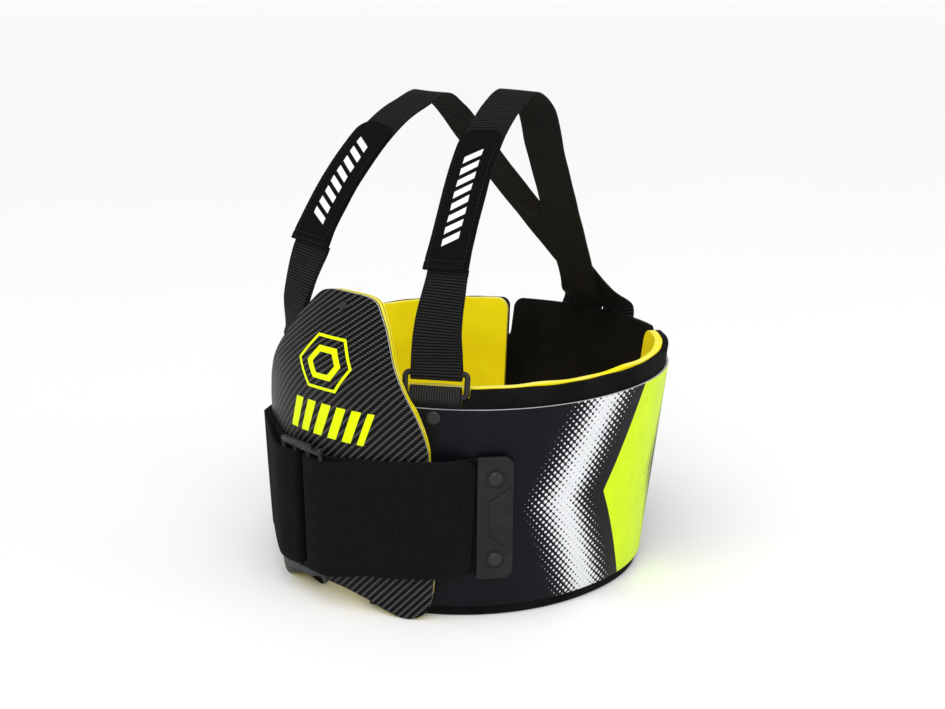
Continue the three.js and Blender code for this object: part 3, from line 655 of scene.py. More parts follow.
def addCamera():
    data = bpy.data.cameras.new("camera")
    data.sensor_width = cameraView["sensor"]
    data.lens = cameraView["focal"] / cameraView["imageWidth"] * cameraView["sensor"]
    camera = bpy.data.objects.new("camera", data)
    x, y, z = cameraView["place"]
    camera.location = (x, y, z + hang)
    turn = (90 - cameraView["pitch"], 0, cameraView["azimuth"])
    camera.rotation_euler = [math.radians(angle) for angle in turn]
    scene.collection.objects.link(camera)
    scene.camera = camera


floorSize = {
    "colour": (0.90, 0.90, 0.90),
    "flat": 10.0,
    "half": 18.0,
    "rise": 6.0,
    "drop": 0.6 * mm,
    "steps": 12,
    "sides": 96,
}


def addFloor():  # a wide disc whose rim curves up, far behind everything
    f = floorSize
    bend = np.linspace(0, math.pi / 2, f["steps"])
    radii = f["flat"] + (f["half"] - f["flat"]) * np.sin(bend)
    heights = cadLow.z - f["drop"] + f["rise"] * (1 - np.cos(bend))
    verts = [(x, y, z) for r, z in zip(radii, heights) for x, y in circle((0, 0), r, f["sides"])]
    faces = [tuple(range(f["sides"])), *ringFaces(f["steps"], f["sides"])]
    material, tree, shader = newMaterial("paleFloor", f["colour"], 0.85)
    plug(tree, shader["Roughness"], spread(tree, noise(tree, 3.0, 2.0), 0.3, 0.7, 0.8, 0.9))
    newPiece("floor", verts, faces, [material], lift=0)


studio = {
    "world": (1.0, 1.0, 1.0),
    "worldStrength": 0.40,
    "sunPower": 2.15,
    "sunSpread": 70,
    "sunFrom": (0.5, -0.75, 1.6),
    "lamps": [
        {"name": "keyLamp", "place": (1.6, -1.7, 1.0), "size": 1.2, "power": 14.0},
        {"name": "sideLamp", "place": (2.2, 0.9, 0.5), "size": 1.2, "power": 9.0},
        {"name": "frontLamp", "place": (-1.5, -2.0, 0.5), "size": 1.2, "power": 1.5},
    ],
}


def addLights():
    world = bpy.data.worlds.new("studio")
    scene.world = world
    world.use_nodes = True
    sky = world.node_tree.nodes["Background"]
    sky.inputs["Color"].default_value = (*studio["world"], 1.0)
    sky.inputs["Strength"].default_value = studio["worldStrength"]
    target = Vector((0, 0, hang / 2))
    data = bpy.data.lights.new("overheadLight", "SUN")
    data.energy = studio["sunPower"]
    data.angle = math.radians(studio["sunSpread"])
    sun = bpy.data.objects.new("overheadLight", data)
    sun.rotation_euler = Vector(studio["sunFrom"]).to_track_quat("Z", "Y").to_euler()
    scene.collection.objects.link(sun)
    for lamp in studio["lamps"]:
        data = bpy.data.lights.new(lamp["name"], "AREA")
        data.shape = "DISK"
        data.size = lamp["size"]
        data.energy = lamp["power"]
        light = bpy.data.objects.new(lamp["name"], data)
        light.location = lamp["place"]
        light.rotation_euler = (target - light.location).to_track_quat("-Z", "Y").to_euler()
        scene.collection.objects.link(light)


addCamera()
addFloor()
addLights()
print("camera, floor and lights placed")

yellowFoam = foamMaterial("yellowFoam", foamLook["yellow"], foamLook["yellowDeep"], 0.72)
yellowEdge = foamMaterial("yellowFoamEdge", foamLook["yellowEdge"], foamLook["yellow"], 0.8)
blackFoam = foamMaterial("blackFoam", foamLook["blackWorn"], foamLook["black"], 0.9)
wovenCarbon = twillMaterial()
plateRim = paleEdgeMaterial("plateRim", (0.62, 0.62, 0.55))
shellRim = paleEdgeMaterial("shellRim", (0.55, 0.56, 0.57))
printedShell = printMaterial()
brushedLoop = brushedMaterial()
strapWebbing = webbingMaterial("strapWebbing", strapWeave)
tabWebbing = webbingMaterial("tabWebbing", tabWeave)
labelCloth = webbingMaterial("labelCloth", labelWeave, labelBars)
mouldedPlastic = plasticMaterial("mouldedPlastic", (0.0085, 0.0085, 0.0092), 0.42, 900.0)
# the rails' lighter plastic is partly rubbed wear and partly a painted highlight for the light along them
wornHighlitPlastic = plasticMaterial("wornHighlitPlastic", (0.022, 0.022, 0.023), 0.36, 900.0)
rivetPaint = plasticMaterial("rivetPaint", (0.020, 0.020, 0.021), 0.33, 500.0)
thread = plasticMaterial("thread", (0.012, 0.012, 0.0125), 0.6, 2500.0)
print("materials made")


# Side shells: thin sheets with a pale cut edge, cut down beside the back panel's slits
shellSheet = {
    "start": 15,
    "end": 158,
    "columns": 180,
    "rows": 22,
    "bevel": 0.45 * mm,
    "cutFrom": 145.5,
    "cutTo": 147.8,
    "cutDepth": 19.5 * mm,
}


def addShell(side, name):
    s = shellSheet
    angles = np.linspace(s["start"], s["end"], s["columns"])
    cut = np.clip((angles - s["cutFrom"]) / (s["cutTo"] - s["cutFrom"]), 0, 1)
    high = bodyOval["shellHeight"] - s["cutDepth"] * (cut * cut * (3 - 2 * cut))
    around, heights = sheetRound(angles, np.zeros(len(angles)), high, s["rows"])
    piece = bodySheet(f"shell_{name}", side, around, heights, (-layers["shellWall"], 0),
                      [printedShell, shellRim], s["bevel"], 2, 1)
    wear(piece, "printed_shell", f"side_shell_{name}")


# The strap's ring and the tab that holds it, whose sizes also shape the foam behind them
ring = {
    "angle": 32.5,
    "offset": -3 * mm,
    "tilt": 20,
    "innerWidth": 44 * mm,
    "height": 22 * mm,
    "corner": 3.2 * mm,
    "wire": 4.5 * mm,
    "wall": 2.6 * mm,
    "squareness": 0.7,
    "lift": 7.5 * mm,
    "sideGap": -0.2 * mm,
}
tab = {
    "width": 40 * mm,
    "wall": 1.4 * mm,
    "depth": 22 * mm,
    "loop": 2.5 * mm,
    "edgeGap": 0.6 * mm,
    "bevel": 0.35 * mm,
    "columns": 13,
    "bowShare": 1.15,
    "rivetDrop": 7 * mm,
}
tabBow = tab["bowShare"] * (tab["width"] / 2) ** 2 / (2 * bodyRadius)
tabPlace = -(layers["shellWall"] + layers["clearance"] + tabBow + tab["wall"] / 2)

# Black foam behind the shells, notched under the ring and pressed thin behind its tab
sideFoam = {
    "start": 11,
    "end": 148.2,
    "columns": 240,
    "rows": 14,
    "rise": 15 * mm,
    "drop": 8.2 * mm,
    "bevel": 0.7 * mm,
    "slope": 0.2,
    "tabGap": 0.5 * mm,
    "pocketRun": 8 * mm,
    "corner": 8 * mm,
    "ripple": [(0.25 * mm, 71 * mm, 0.4), (0.15 * mm, 33 * mm, 1.9)],
}


def beyondRing(angle, half):  # 0 within half of the ring's middle, 1 past it
    return np.clip((np.abs(angle - ring["angle"]) - half) / sideFoam["slope"], 0, 1)


def addFoam(side, name):
    s = sideFoam
    pocket = arc(tab["width"] / 2 + s["tabGap"])
    notch = arc(ring["innerWidth"] / 2 + ring["wire"] + ring["sideGap"])
    bends = [ring["angle"] + end * (half + more)
             for end in (-1, 1) for half in (pocket, notch) for more in (0, s["slope"])]
    rounding = s["end"] - arc(s["corner"]) * (1 - cornerSteps(0.1))
    angles = np.unique(np.concatenate([np.linspace(s["start"], s["end"], s["columns"]), bends, rounding]))
    underRing = (ring["lift"] - layers["clearance"]) * beyondRing(angles, pocket)
    rise = np.maximum(s["rise"] * beyondRing(angles, notch), underRing)
    ripple = wave(np.radians(angles) * bodyRadius, s["ripple"]) * (rise > 0.9 * s["rise"])
    high = bodyOval["shellHeight"] + rise + ripple - roundOff((s["end"] - angles) / arc(1), s["corner"])
    around, heights = sheetRound(angles, np.full(len(angles), -s["drop"]), high, s["rows"])
    pocketFace = min(tabPlace - tab["wall"] / 2 - layers["clearance"], foamFace)
    tabFoot = bodyOval["shellHeight"] - tab["depth"]
    behindTab = np.clip((heights - tabFoot) / s["pocketRun"] + 1, 0, 1)
    face = lerp(foamFace, pocketFace, behindTab * (1 - beyondRing(around, pocket)))
    piece = bodySheet(f"sideFoam_{name}", side, around, heights, (foamFace - layers["foamWall"], face),
                      [blackFoam], s["bevel"], 3)
    wear(piece, "black_foam", f"side_foam_{name}")


# Back panel, slit apart from the sides near its top, with rounded upper corners
backPanel = {
    "columns": 60,
    "slitWidth": 5.2 * mm,
    "slitFoot": 2.4 * mm,
    "slitDepth": 33 * mm,
    "corner": 7 * mm,
    "bevel": 1.1 * mm,
}


def addBackPanel():
    s = backPanel
    top = bodyOval["shellHeight"] + sideFoam["rise"]
    shares = np.unique(np.concatenate([np.linspace(0, 1, 26), 1 - np.geomspace(0.002, 0.2, 8)]))
    heights = lerp(-sideFoam["drop"], top, shares)
    opening = np.clip((heights - (top - s["slitDepth"] - s["slitWidth"])) / s["slitWidth"], 0, 1)
    width = lerp(s["slitWidth"], s["slitFoot"], np.clip((top - heights) / s["slitDepth"], 0, 1))
    inset = lerp(arc(layers["clearance"]), arc(width), opening)
    half = 180 - sideFoam["end"] - inset - arc(1) * roundOff(top - heights, s["corner"])
    around = 180 + np.linspace(-1, 1, s["columns"])[:, None] * half[None, :]
    levels = heights[None, :] + 0 * around
    inner, outer = (onBody(around, levels, face) for face in (foamFace - layers["foamWall"], foamFace))
    uvs = np.stack([np.radians(around - 180) * bodyRadius, levels], -1)
    piece = slab("backPanel", inner, outer, uvs, [blackFoam], s["bevel"], 3)
    wear(piece, "black_foam", "back_panel")


# Yellow linings
lining = {
    "start": 13,
    "end": 148,
    "columns": 200,
    "rows": 14,
    "rise": 16 * mm,
    "drop": 4 * mm,
    "corner": 11 * mm,
    "bevel": 1.5 * mm,
    "bulge": 0.5 * mm,
    "ripple": [(0.45 * mm, 83 * mm, 1.2), (0.25 * mm, 41 * mm, 0.3)],
}


def addLining(side, name):
    s = lining
    corner = arc(s["corner"])
    straight = np.linspace(s["start"], s["end"] - corner, s["columns"])
    angles = np.concatenate([straight, s["end"] - corner * (1 - cornerSteps(0.12))])
    ripple = wave(np.radians(angles) * bodyRadius, s["ripple"])
    fromEnd = (s["end"] - angles) / corner * s["corner"]
    high = bodyOval["shellHeight"] + s["rise"] - roundOff(fromEnd, s["corner"]) + ripple
    around, heights = sheetRound(angles, np.full(len(angles), -s["drop"]), high, s["rows"])
    bulge = s["bulge"] * np.sin(np.linspace(0, math.pi, s["rows"]))[None, :] + ripple[:, None] * 0.5
    piece = bodySheet(f"sideLining_{name}", side, around, heights,
                      (liningFace - layers["liningWall"] - bulge, liningFace),
                      [yellowFoam, yellowEdge], s["bevel"], 4, 1)
    wear(piece, "yellow_foam", f"side_lining_{name}")


# Chest plate and its pad: half the outline, as shares of the half width and of the height above,
# and millimetres up from the lowest point below
plate = {
    "halfWidth": 93 * mm,
    "top": 241 * mm,
    "bottom": -8.4 * mm,
    "rows": 60,
    "flatHeight": 172 * mm,
    "bendHeight": 28 * mm,
    "lean": 0.55,
    "rivetDrop": 10 * mm,
    "bevel": 0.35 * mm,
    "paleRim": 1.1 * mm,
    "weaveStretch": 1.06,
    "leanStretch": 0.14,
    "padInset": 0.9 * mm,
    "padBevel": 0.9 * mm,
    "padSeam": 0.35,
    "seamHalf": 0.35 * mm,
    "seamRoom": 0.4,
    "ringRoom": 2.7 * mm,
    "ringRun": 6 * mm,
}
plateOutline = [
    {"across": 0, "top": 1, "bottom": 16.4},
    {"across": 0.2, "top": 0.998, "bottom": 15.2},
    {"across": 0.31, "top": 0.99, "bottom": 13.4},
    {"across": 0.37, "top": 0.977, "bottom": 12.1},
    {"across": 0.43, "top": 0.953, "bottom": 10.8},
    {"across": 0.525, "top": 0.912, "bottom": 7.4},
    {"across": 0.6, "top": 0.871, "bottom": 4.6},
    {"across": 0.67, "top": 0.83, "bottom": 2.2},
    {"across": 0.74, "top": 0.788, "bottom": 0.4},
    {"across": 0.8, "top": 0.75, "bottom": 0},
    {"across": 0.86, "top": 0.705, "bottom": 1.6},
    {"across": 0.91, "top": 0.664, "bottom": 4.8},
    {"across": 0.95, "top": 0.622, "bottom": 10},
    {"across": 0.98, "top": 0.581, "bottom": 19},
    {"across": 1, "top": 0.54, "bottom": 36},
]


def smoothLine(points, perStep):  # centripetal curve through points, with perStep samples a step
    points = np.asarray(points, float)
    ends = np.vstack([2 * points[:1] - points[1:2], points, 2 * points[-1:] - points[-2:-1]])
    made = []
    for k in range(len(points) - 1):
        a, b, c, d = ends[k:k + 4]
        steps = [max(np.linalg.norm(q - p) ** 0.5, 1e-6) for p, q in ((a, b), (b, c), (c, d))]
        leave = ((b - a) / steps[0] - (c - a) / (steps[0] + steps[1]) + (c - b) / steps[1]) * steps[1]
        arrive = ((c - b) / steps[1] - (d - b) / (steps[1] + steps[2]) + (d - c) / steps[2]) * steps[1]
        for t in np.arange(perStep) / perStep:
            square, cube = t * t, t * t * t
            made.append((2 * cube - 3 * square + 1) * b + (cube - 2 * square + t) * leave
                        + (3 * square - 2 * cube) * c + (cube - square) * arrive)
    made.append(points[-1])
    return np.array(made)


def leanBack(z):
    over = np.maximum(0, z - plate["flatHeight"])
    bend, lean = plate["bendHeight"], plate["lean"]
    return np.where(over < bend, lean * over * over / (2 * bend), lean * (over - bend / 2))


def onPlate(x, z, offset):
    x, z, offset = np.broadcast_arrays(*(np.asarray(value, float) for value in (x, z, offset)))
    level = np.minimum(z, bodyOval["shellHeight"])
    made = onBody(angleOf(x, level, plateFace), level, offset)
    made[..., 1] += leanBack(z)
    made[..., 2] = z
    return made


def plateGrid(grow):  # x and z of the plate's grid, its outline moved out by grow
    table = np.array([[row["across"], row["top"], row["bottom"]] for row in plateOutline])
    across, top = table[:, 0] * plate["halfWidth"], table[:, 1] * plate["top"]
    bottom = table[:, 2] * mm + plate["bottom"]
    tops, lows = (smoothLine(np.c_[across, level, 0 * across], 4) for level in (top, bottom))
    x = (tops[:, 0] + lows[:, 0]) / 2
    x = np.concatenate([-x[:0:-1], x]) * (1 + grow / plate["halfWidth"])
    high, low = (np.concatenate([line[:0:-1, 1], line[:, 1]]) for line in (tops, lows))
    middle = (high + low) / 2
    high, low = (middle + (line - middle) * (1 + grow / (plate["top"] / 2)) for line in (high, low))
    shares = (1 - np.cos(np.linspace(0, math.pi, plate["rows"]))) / 2
    return x[:, None] + 0 * shares[None, :], low[:, None] * (1 - shares) + high[:, None] * shares


def plateMap(x, z):  # the weave runs on over the part that leans
    turned = np.radians(angleOf(x, np.minimum(z, bodyOval["shellHeight"]), plateFace))
    leaning = plate["leanStretch"] * np.maximum(0, z - plate["flatHeight"])
    return np.stack([turned * bodyRadius * plate["weaveStretch"], z + leaning], -1)


def plateSheet(name, x, z, low, high, materials, bevel, segments, rimMaterial):
    return slab(name, onPlate(x, z, low), onPlate(x, z, high), plateMap(x, z), materials, bevel, segments,
                rimMaterial)


def addPlate():  # two sheets, of which the outer one has the pale edge
    rimFrom = plateFace - plate["paleRim"]
    faces = [plateFace - layers["plateWall"], rimFrom, plateFace]
    x, z = plateGrid(0)
    sheets = [plateSheet(f"plateLayer{k}", x, z, faces[k], faces[k + 1], [wovenCarbon, plateRim],
                         plate["bevel"], 2, k) for k in (0, 1)]
    wear(joinMeshes("frontPlate", sheets), "woven_plate", "front_plate")


def addPad():  # yellow foam in two layers with a thin layer of black foam between them, thinner above the shells
    x, z = plateGrid(-plate["padInset"])
    raised = plate["ringRoom"] * np.clip((z - bodyOval["shellHeight"]) / plate["ringRun"], 0, 1)
    low, high = layers["clearance"], layers["clearance"] + layers["padWall"]
    seam = lerp(low, high, plate["padSeam"]) + raised * plate["seamRoom"]
    under, over = seam - plate["seamHalf"], seam + plate["seamHalf"]
    yellow, black = [yellowFoam, yellowEdge], [blackFoam, blackFoam]
    spans = [(low + raised, under, yellow, plate["padBevel"]), (under, over, black, 0),
             (over, high, yellow, plate["padBevel"])]
    sheets = [plateSheet(f"padLayer{k}", x, z, *span, 3, 1) for k, span in enumerate(spans)]
    pad = joinMeshes("frontPad", sheets)
    wear(pad, "yellow_foam", "front_pad")


for side, name in sides:
    addShell(side, name)
    addFoam(side, name)
    addLining(side, name)
addBackPanel()
addPlate()
addPad()
print("shells, foams, linings and plate made")

# Buckle on the plate: four bars between two rails, which are low beside the last post. The belts'
# sizes stand here too, because the buckle's place follows from their layers.
buckle = {
    "offCentre": -20 * mm,
    "innerSpacing": 18 * mm,
    "outerSpacing": 50 * mm,
    "bar": 2 * mm,
    "railHeight": 6 * mm,
    "railShare": 0.95,
    "railBevel": 0.6 * mm,
    "bridge": 2.2 * mm,
    "railGap": 2.5 * mm,
}
belt = {
    "width": 95 * mm,
    "wall": 2.8 * mm,
    "rows": 25,
    "heightAtBuckle": 66 * mm,
    "heightAtBracket": 77 * mm,
    "corner": 10 * mm,
    "endGap": 2.6 * mm,
    "settle": 38 * mm,
    "bevel": 0.8 * mm,
    "ripple": [(0.25 * mm, 47 * mm, 0.7)],
    "rippleShare": 0.6,
    "rippleTurn": 2.4,
}
beltRadius = buckle["bar"] + layers["clearance"] + belt["wall"] / 2
bracketSeat = 2 * layers["clearance"] + belt["wall"]


def buckleFrame():
    offset = plateFace + layers["clearance"] + belt["wall"] / 2 + beltRadius
    x, z = buckle["offCentre"], belt["heightAtBuckle"]
    around = unit(onPlate(x + probe, z, offset) - onPlate(x - probe, z, offset))
    rising = onPlate(x, z + probe, offset) - onPlate(x, z - probe, offset)
    return frameOf(around, rising, onPlate(x, z, offset))


def placeMesh(piece, matrix):  # moves the mesh itself; matrix is in heights from the shells' edge
    lift = np.eye(4)
    lift[2, 3] = hang
    piece.data.transform(Matrix((lift @ matrix).tolist()))
    return piece


def prism(name, outline, low, high, material):  # a closed prism of an outline, between two heights
    count = len(outline)
    verts = [(x, y, z) for z in (low, high) for x, y in outline]
    faces = [tuple(range(count))[::-1], tuple(range(count, 2 * count)), *ringFaces(2, count)]
    return newPiece(name, verts, faces, [material], lift=0)


def rod(name, radius, half, material):
    piece = prism(name, circle((0, 0), radius, 20), -half, half, material)
    piece.data.transform(Matrix.Rotation(math.pi / 2, 4, "X"))
    return piece


def railOutline():
    b = buckle
    half, tall, cut = b["outerSpacing"] / 2 + b["bar"], b["railHeight"] / 2, b["railHeight"] / 3
    post, inner = b["outerSpacing"] / 2 - b["bar"], b["innerSpacing"] / 2 + b["bar"]
    low = b["bridge"] - tall
    return [(-half + cut, -tall), (half, -tall), (half, tall - cut / 2), (half - cut / 2, tall),
            (post + cut / 2, tall), (post, tall - cut / 2), (post, low), (inner + cut / 2, low),
            (inner, low + cut / 2), (inner - cut, tall), (-half + cut, tall), (-half, tall - cut),
            (-half, cut - tall)]


def addBuckle():
    b = buckle
    railCentre = belt["width"] / 2 + b["railGap"] + b["railHeight"] / 2
    thick = b["railShare"] * b["bar"]
    pieces = []
    for x in (-b["outerSpacing"] / 2, -b["innerSpacing"] / 2, b["innerSpacing"] / 2, b["outerSpacing"] / 2):
        bar = rod("bar", b["bar"], railCentre, mouldedPlastic)
        bar.data.transform(Matrix.Translation((x, 0, 0)))
        pieces.append(bar)
    for end in (-1, 1):
        turned = [(x, end * y) for x, y in railOutline()]
        # the rails are drawn lighter than the bars: rubbed wear and painted highlight
        rail = roundEdges(prism("rail", turned, -thick, thick, wornHighlitPlastic), b["railBevel"])
        rail.data.transform(Matrix.Translation((0, end * railCentre, 0)))
        pieces.append(rail)
    piece = placeMesh(joinMeshes("centreBuckle", pieces), buckleFrame())
    wear(piece, "moulded_plastic", "centre_buckle")


# Belts: from under the bracket along the plate, round the buckle's bar and back over themselves
beltDrop = [
    {"share": 0, "height": 1},
    {"share": 0.12, "height": 0.976},
    {"share": 0.5, "height": 0.535},
    {"share": 0.9, "height": 0.07},
    {"share": 1, "height": 0},
]


# The outer layer over the buckle: shares of the way from the inner bar to the outer one, and
# heights as shares of the belt's turning radius
beltHump = [
    {"share": 0.35, "height": 1.17},
    {"share": 1, "height": 1.1},
    {"share": 1.65, "height": 0.3},
]


def beltLine(side, row):  # row goes from -1 at the lower edge to 1 at the upper edge
    matrix = buckleFrame()
    rise = row * belt["width"] / 2
    lay = plateFace + layers["clearance"] + belt["wall"] / 2
    shellLay = layers["clearance"] + belt["wall"] / 2
    step = belt["wall"] + layers["clearance"]
    bar, outerBar = buckle["innerSpacing"] / 2, buckle["outerSpacing"] / 2
    reach = plate["halfWidth"] - side * buckle["offCentre"]
    bracketFrom = bracket["angle"] - arc(bracket["width"] / 2)
    edgeAngle = float(angleOf(plate["halfWidth"], belt["heightAtBuckle"], plateFace))
    endAngle = bracketFrom - arc(belt["endGap"])
    level = lambda share: lerp(belt["heightAtBuckle"], belt["heightAtBracket"], share) + rise
    local = lambda u, v: at(matrix, side * u, rise, v)
    onTop = lambda share, offset: onPlate(buckle["offCentre"] + side * reach * share, level(share), offset)

    def dropped(share, lift, cut=0.0):
        height = np.interp(share, [r["share"] for r in beltDrop], [r["height"] for r in beltDrop])
        z = level(1) - np.sign(row) * cut * abs(row)
        return onBody(side * lerp(edgeAngle, endAngle, share), z, lerp(shellLay, lay, height) + lift)

    bracketSpan = arc(bracket["width"])
    under = [onBody(side * (bracketFrom + bracketSpan * s), level(1), shellLay)
             for s in (0.95, 0.7, 0.4, 0.1)]
    under += [dropped(s, 0) for s in (1, 0.9, 0.5, 0.12, 0)]
    under += [onTop(s, lay) for s in (0.85, 0.7, 0.55, 0.4)]
    fold = [local(bar + beltRadius * 1.4, -beltRadius)]
    for k in range(9):
        turn = -math.pi / 2 - math.pi * k / 8
        fold.append(local(bar + beltRadius * math.cos(turn), beltRadius * math.sin(turn)))
    fold += [local(lerp(bar, outerBar, r["share"]), r["height"] * beltRadius) for r in beltHump]
    start = (outerBar + buckle["bar"] + belt["settle"]) / reach
    over = [onTop(lerp(start, 1, s), lay + step) for s in (0, 0.25, 0.5, 0.75)]
    over += [dropped(s, step) for s in (0, 0.12, 0.3)]
    dropLength = (endAngle - edgeAngle) / arc(1)
    for share in (1, 0.5, 0.15, 0):
        fromEnd = share * belt["corner"]
        over.append(dropped(1 - fromEnd / dropLength, step, float(roundOff(fromEnd, belt["corner"]))))
    return smoothLine(under + fold + over, 5)


def addBelt(side, name):
    rows = np.linspace(-1, 1, belt["rows"])
    lines = np.stack([beltLine(side, row) for row in rows], 1)
    along = np.gradient(lines, axis=0)
    along[..., 2] = 0
    along = unit(along)
    out = np.stack([along[..., 1], -along[..., 0], 0 * along[..., 0]], -1)
    travelled = lengthAlong(lines[:, belt["rows"] // 2])
    ripple = wave(travelled, belt["ripple"])[:, None] * np.cos(rows * belt["rippleTurn"])[None, :]
    middle = lines + out * (ripple[..., None] * belt["rippleShare"])
    half = out * belt["wall"] / 2
    across = (rows * belt["width"] / 2)[None, :] + 0 * lines[..., 0]
    uvs = np.stack([travelled[:, None] + 0 * rows, across], -1)
    piece = slab(f"belt_{name}", middle - half, middle + half, uvs, [brushedLoop], belt["bevel"])
    wear(piece, "belt_cloth", f"belt_{name}")


# Brackets: moulded bars with collars round the rivets and a shallow sunk panel
bracket = {
    "angle": 51.3,
    "width": 28 * mm,
    "height": 101 * mm,
    "wall": 4 * mm,
    "chamfer": 5 * mm,
    "rivetInset": 17 * mm,
    "bevel": 0.7 * mm,
    "groove": 0.8 * mm,
    "grooveDepth": 0.55 * mm,
    "collar": 8 * mm,
}
bracketGrooves = [
    {"from": (-4.4 * mm, 14.6 * mm), "to": (11.5 * mm, 25.4 * mm)},
    {"from": (-4.4 * mm, -15.2 * mm), "to": (-4.4 * mm, 15.2 * mm)},
    {"from": (-4.4 * mm, -14.6 * mm), "to": (11.5 * mm, -25.4 * mm)},
]


def bracketFrame(side):
    return bodyFrame(side * bracket["angle"], belt["heightAtBracket"], 0)


def cutWith(piece, tools):
    for tool in tools:
        made = piece.modifiers.new("cut", "BOOLEAN")
        made.operation = "DIFFERENCE"
        made.solver = "EXACT"
        made.object = tool
    settle(piece)
    for tool in tools:
        bpy.data.objects.remove(tool)
    return piece


def strip(start, end, width, low, high):  # a thin bar between two points of a face
    a, b = Vector(start), Vector(end)
    way = (b - a).normalized()
    across = Vector((-way.y, way.x)) * width / 2
    outline = [tuple(p) for p in (a - across, b - across, b + across, a + across)]
    return prism("strip", outline, low, high, mouldedPlastic)


def smoothFaces(piece):
    piece.data.polygons.foreach_set("use_smooth", [True] * len(piece.data.polygons))


def addBracket(side, name):
    b = bracket
    half, tall, cut, top = b["width"] / 2, b["height"] / 2, b["chamfer"], b["wall"]
    outline = [(-half, -tall), (half - cut, -tall), (half, cut - tall),
               (half, tall - cut), (half - cut, tall), (-half, tall)]
    bar = roundEdges(prism("bar", outline, 0, top, mouldedPlastic), b["bevel"])
    sunk = top - b["grooveDepth"]
    tools = []
    for end in (-1, 1):
        centre = (0, end * (tall - b["rivetInset"]))
        outer, inner = circle(centre, b["collar"]), circle(centre, b["collar"] - b["groove"])
        ringCut = prism("ringCut", outer, sunk, top + mm, mouldedPlastic)
        core = prism("core", inner, sunk - mm, top + 2 * mm, mouldedPlastic)
        tools.append(cutWith(ringCut, [core]))
    tools += [strip(row["from"], row["to"], b["groove"], sunk, top + mm) for row in bracketGrooves]
    cutWith(bar, tools)
    smoothFaces(bar)
    bar.data.set_sharp_from_angle(angle=math.radians(35))
    if side < 0:
        bar.data.transform(Matrix.Rotation(math.pi, 4, "Y") @ Matrix.Translation((0, 0, -top)))
    bar.data.transform(Matrix.Translation((0, 0, bracketSeat)))
    bar.name = f"beltBracket_{name}"
    wear(placeMesh(bar, bracketFrame(side)), "moulded_plastic", f"belt_bracket_{name}")


addBuckle()
for side, name in sides:
    addBelt(side, name)
    addBracket(side, name)
print("buckle, belts and brackets made")

# Rivets, set out by Geometry Nodes from points with a direction. The head is domed, with a rim and
# a small dimple, and its profile is in shares of the radius and the height.
rivet = {
    "radius": 5.5 * mm,
    "height": 1.9 * mm,
    "shank": 2.2 * mm,
    "shankLength": 3.2 * mm,
    "steps": 32,
    "plateShare": 0.7,
}
rivetHead = [(0.97, 0), (1, 0.15), (0.98, 0.4), (0.88, 0.72), (0.7, 0.93), (0.5, 1), (0.42, 0.9), (0, 0.82)]


def tabRivetFrame(side):
    return bodyFrame(side * ring["angle"], bodyOval["shellHeight"] - tab["rivetDrop"], 0)


def rivetShape():
    steps, foot = rivet["steps"], -rivet["shankLength"]
    profile = [(rivet["shank"], foot), (rivet["shank"], 0)]
    profile += [(rivet["radius"] * out, rivet["height"] * up) for out, up in rivetHead]
    verts = [(0, 0, foot)]
    verts += [(x, y, z) for radius, z in profile[:-1] for x, y in circle((0, 0), radius, steps)]
    tip, last = len(verts), len(verts) - steps
    verts.append((0, 0, profile[-1][1]))
    faces = ringFaces(len(profile) - 1, steps, 1)
    for i in range(steps):
        ahead = (i + 1) % steps
        faces += [(0, 1 + ahead, 1 + i), (tip, last + i, last + ahead)]
    return newPiece("rivetShape", verts, faces, [rivetPaint], lift=0)


def nodeGroup(name, inputs):
    group = bpy.data.node_groups.new(name, "GeometryNodeTree")
    group.interface.new_socket(name="Geometry", in_out="INPUT", socket_type="NodeSocketGeometry")
    for label, kind in inputs:
        group.interface.new_socket(name=label, in_out="INPUT", socket_type=kind)
    group.interface.new_socket(name="Geometry", in_out="OUTPUT", socket_type="NodeSocketGeometry")
    start = group.nodes.new("NodeGroupInput")
    end = group.nodes.new("NodeGroupOutput")
    return group, start, end


def scatterTree():  # instances an object on points, turned by their axis and aim, then realized
    inputs = [("Shape", "NodeSocketObject"), ("Finish", "NodeSocketMaterial")]
    group, start, end = nodeGroup("setOut", inputs)
    info = group.nodes.new("GeometryNodeObjectInfo")
    copies = group.nodes.new("GeometryNodeInstanceOnPoints")
    real = group.nodes.new("GeometryNodeRealizeInstances")
    paint = group.nodes.new("GeometryNodeSetMaterial")
    turn = group.nodes.new("FunctionNodeAxesToRotation")
    turn.primary_axis = "Z"
    turn.secondary_axis = "X"
    for label, socket in (("axis", "Primary Axis"), ("aim", "Secondary Axis")):
        read = group.nodes.new("GeometryNodeInputNamedAttribute")
        read.data_type = "FLOAT_VECTOR"
        read.inputs["Name"].default_value = label
        group.links.new(read.outputs["Attribute"], turn.inputs[socket])
    size = group.nodes.new("GeometryNodeInputNamedAttribute")
    size.data_type = "FLOAT"
    size.inputs["Name"].default_value = "share"
    links = group.links
    links.new(start.outputs["Shape"], info.inputs["Object"])
    links.new(start.outputs["Geometry"], copies.inputs["Points"])
    links.new(info.outputs["Geometry"], copies.inputs["Instance"])
    links.new(turn.outputs["Rotation"], copies.inputs["Rotation"])
    links.new(size.outputs["Attribute"], copies.inputs["Scale"])
    links.new(copies.outputs["Instances"], real.inputs["Geometry"])
    links.new(real.outputs["Geometry"], paint.inputs["Geometry"])
    links.new(start.outputs["Finish"], paint.inputs["Material"])
    links.new(paint.outputs["Geometry"], end.inputs["Geometry"])
    return group


setOut = scatterTree()


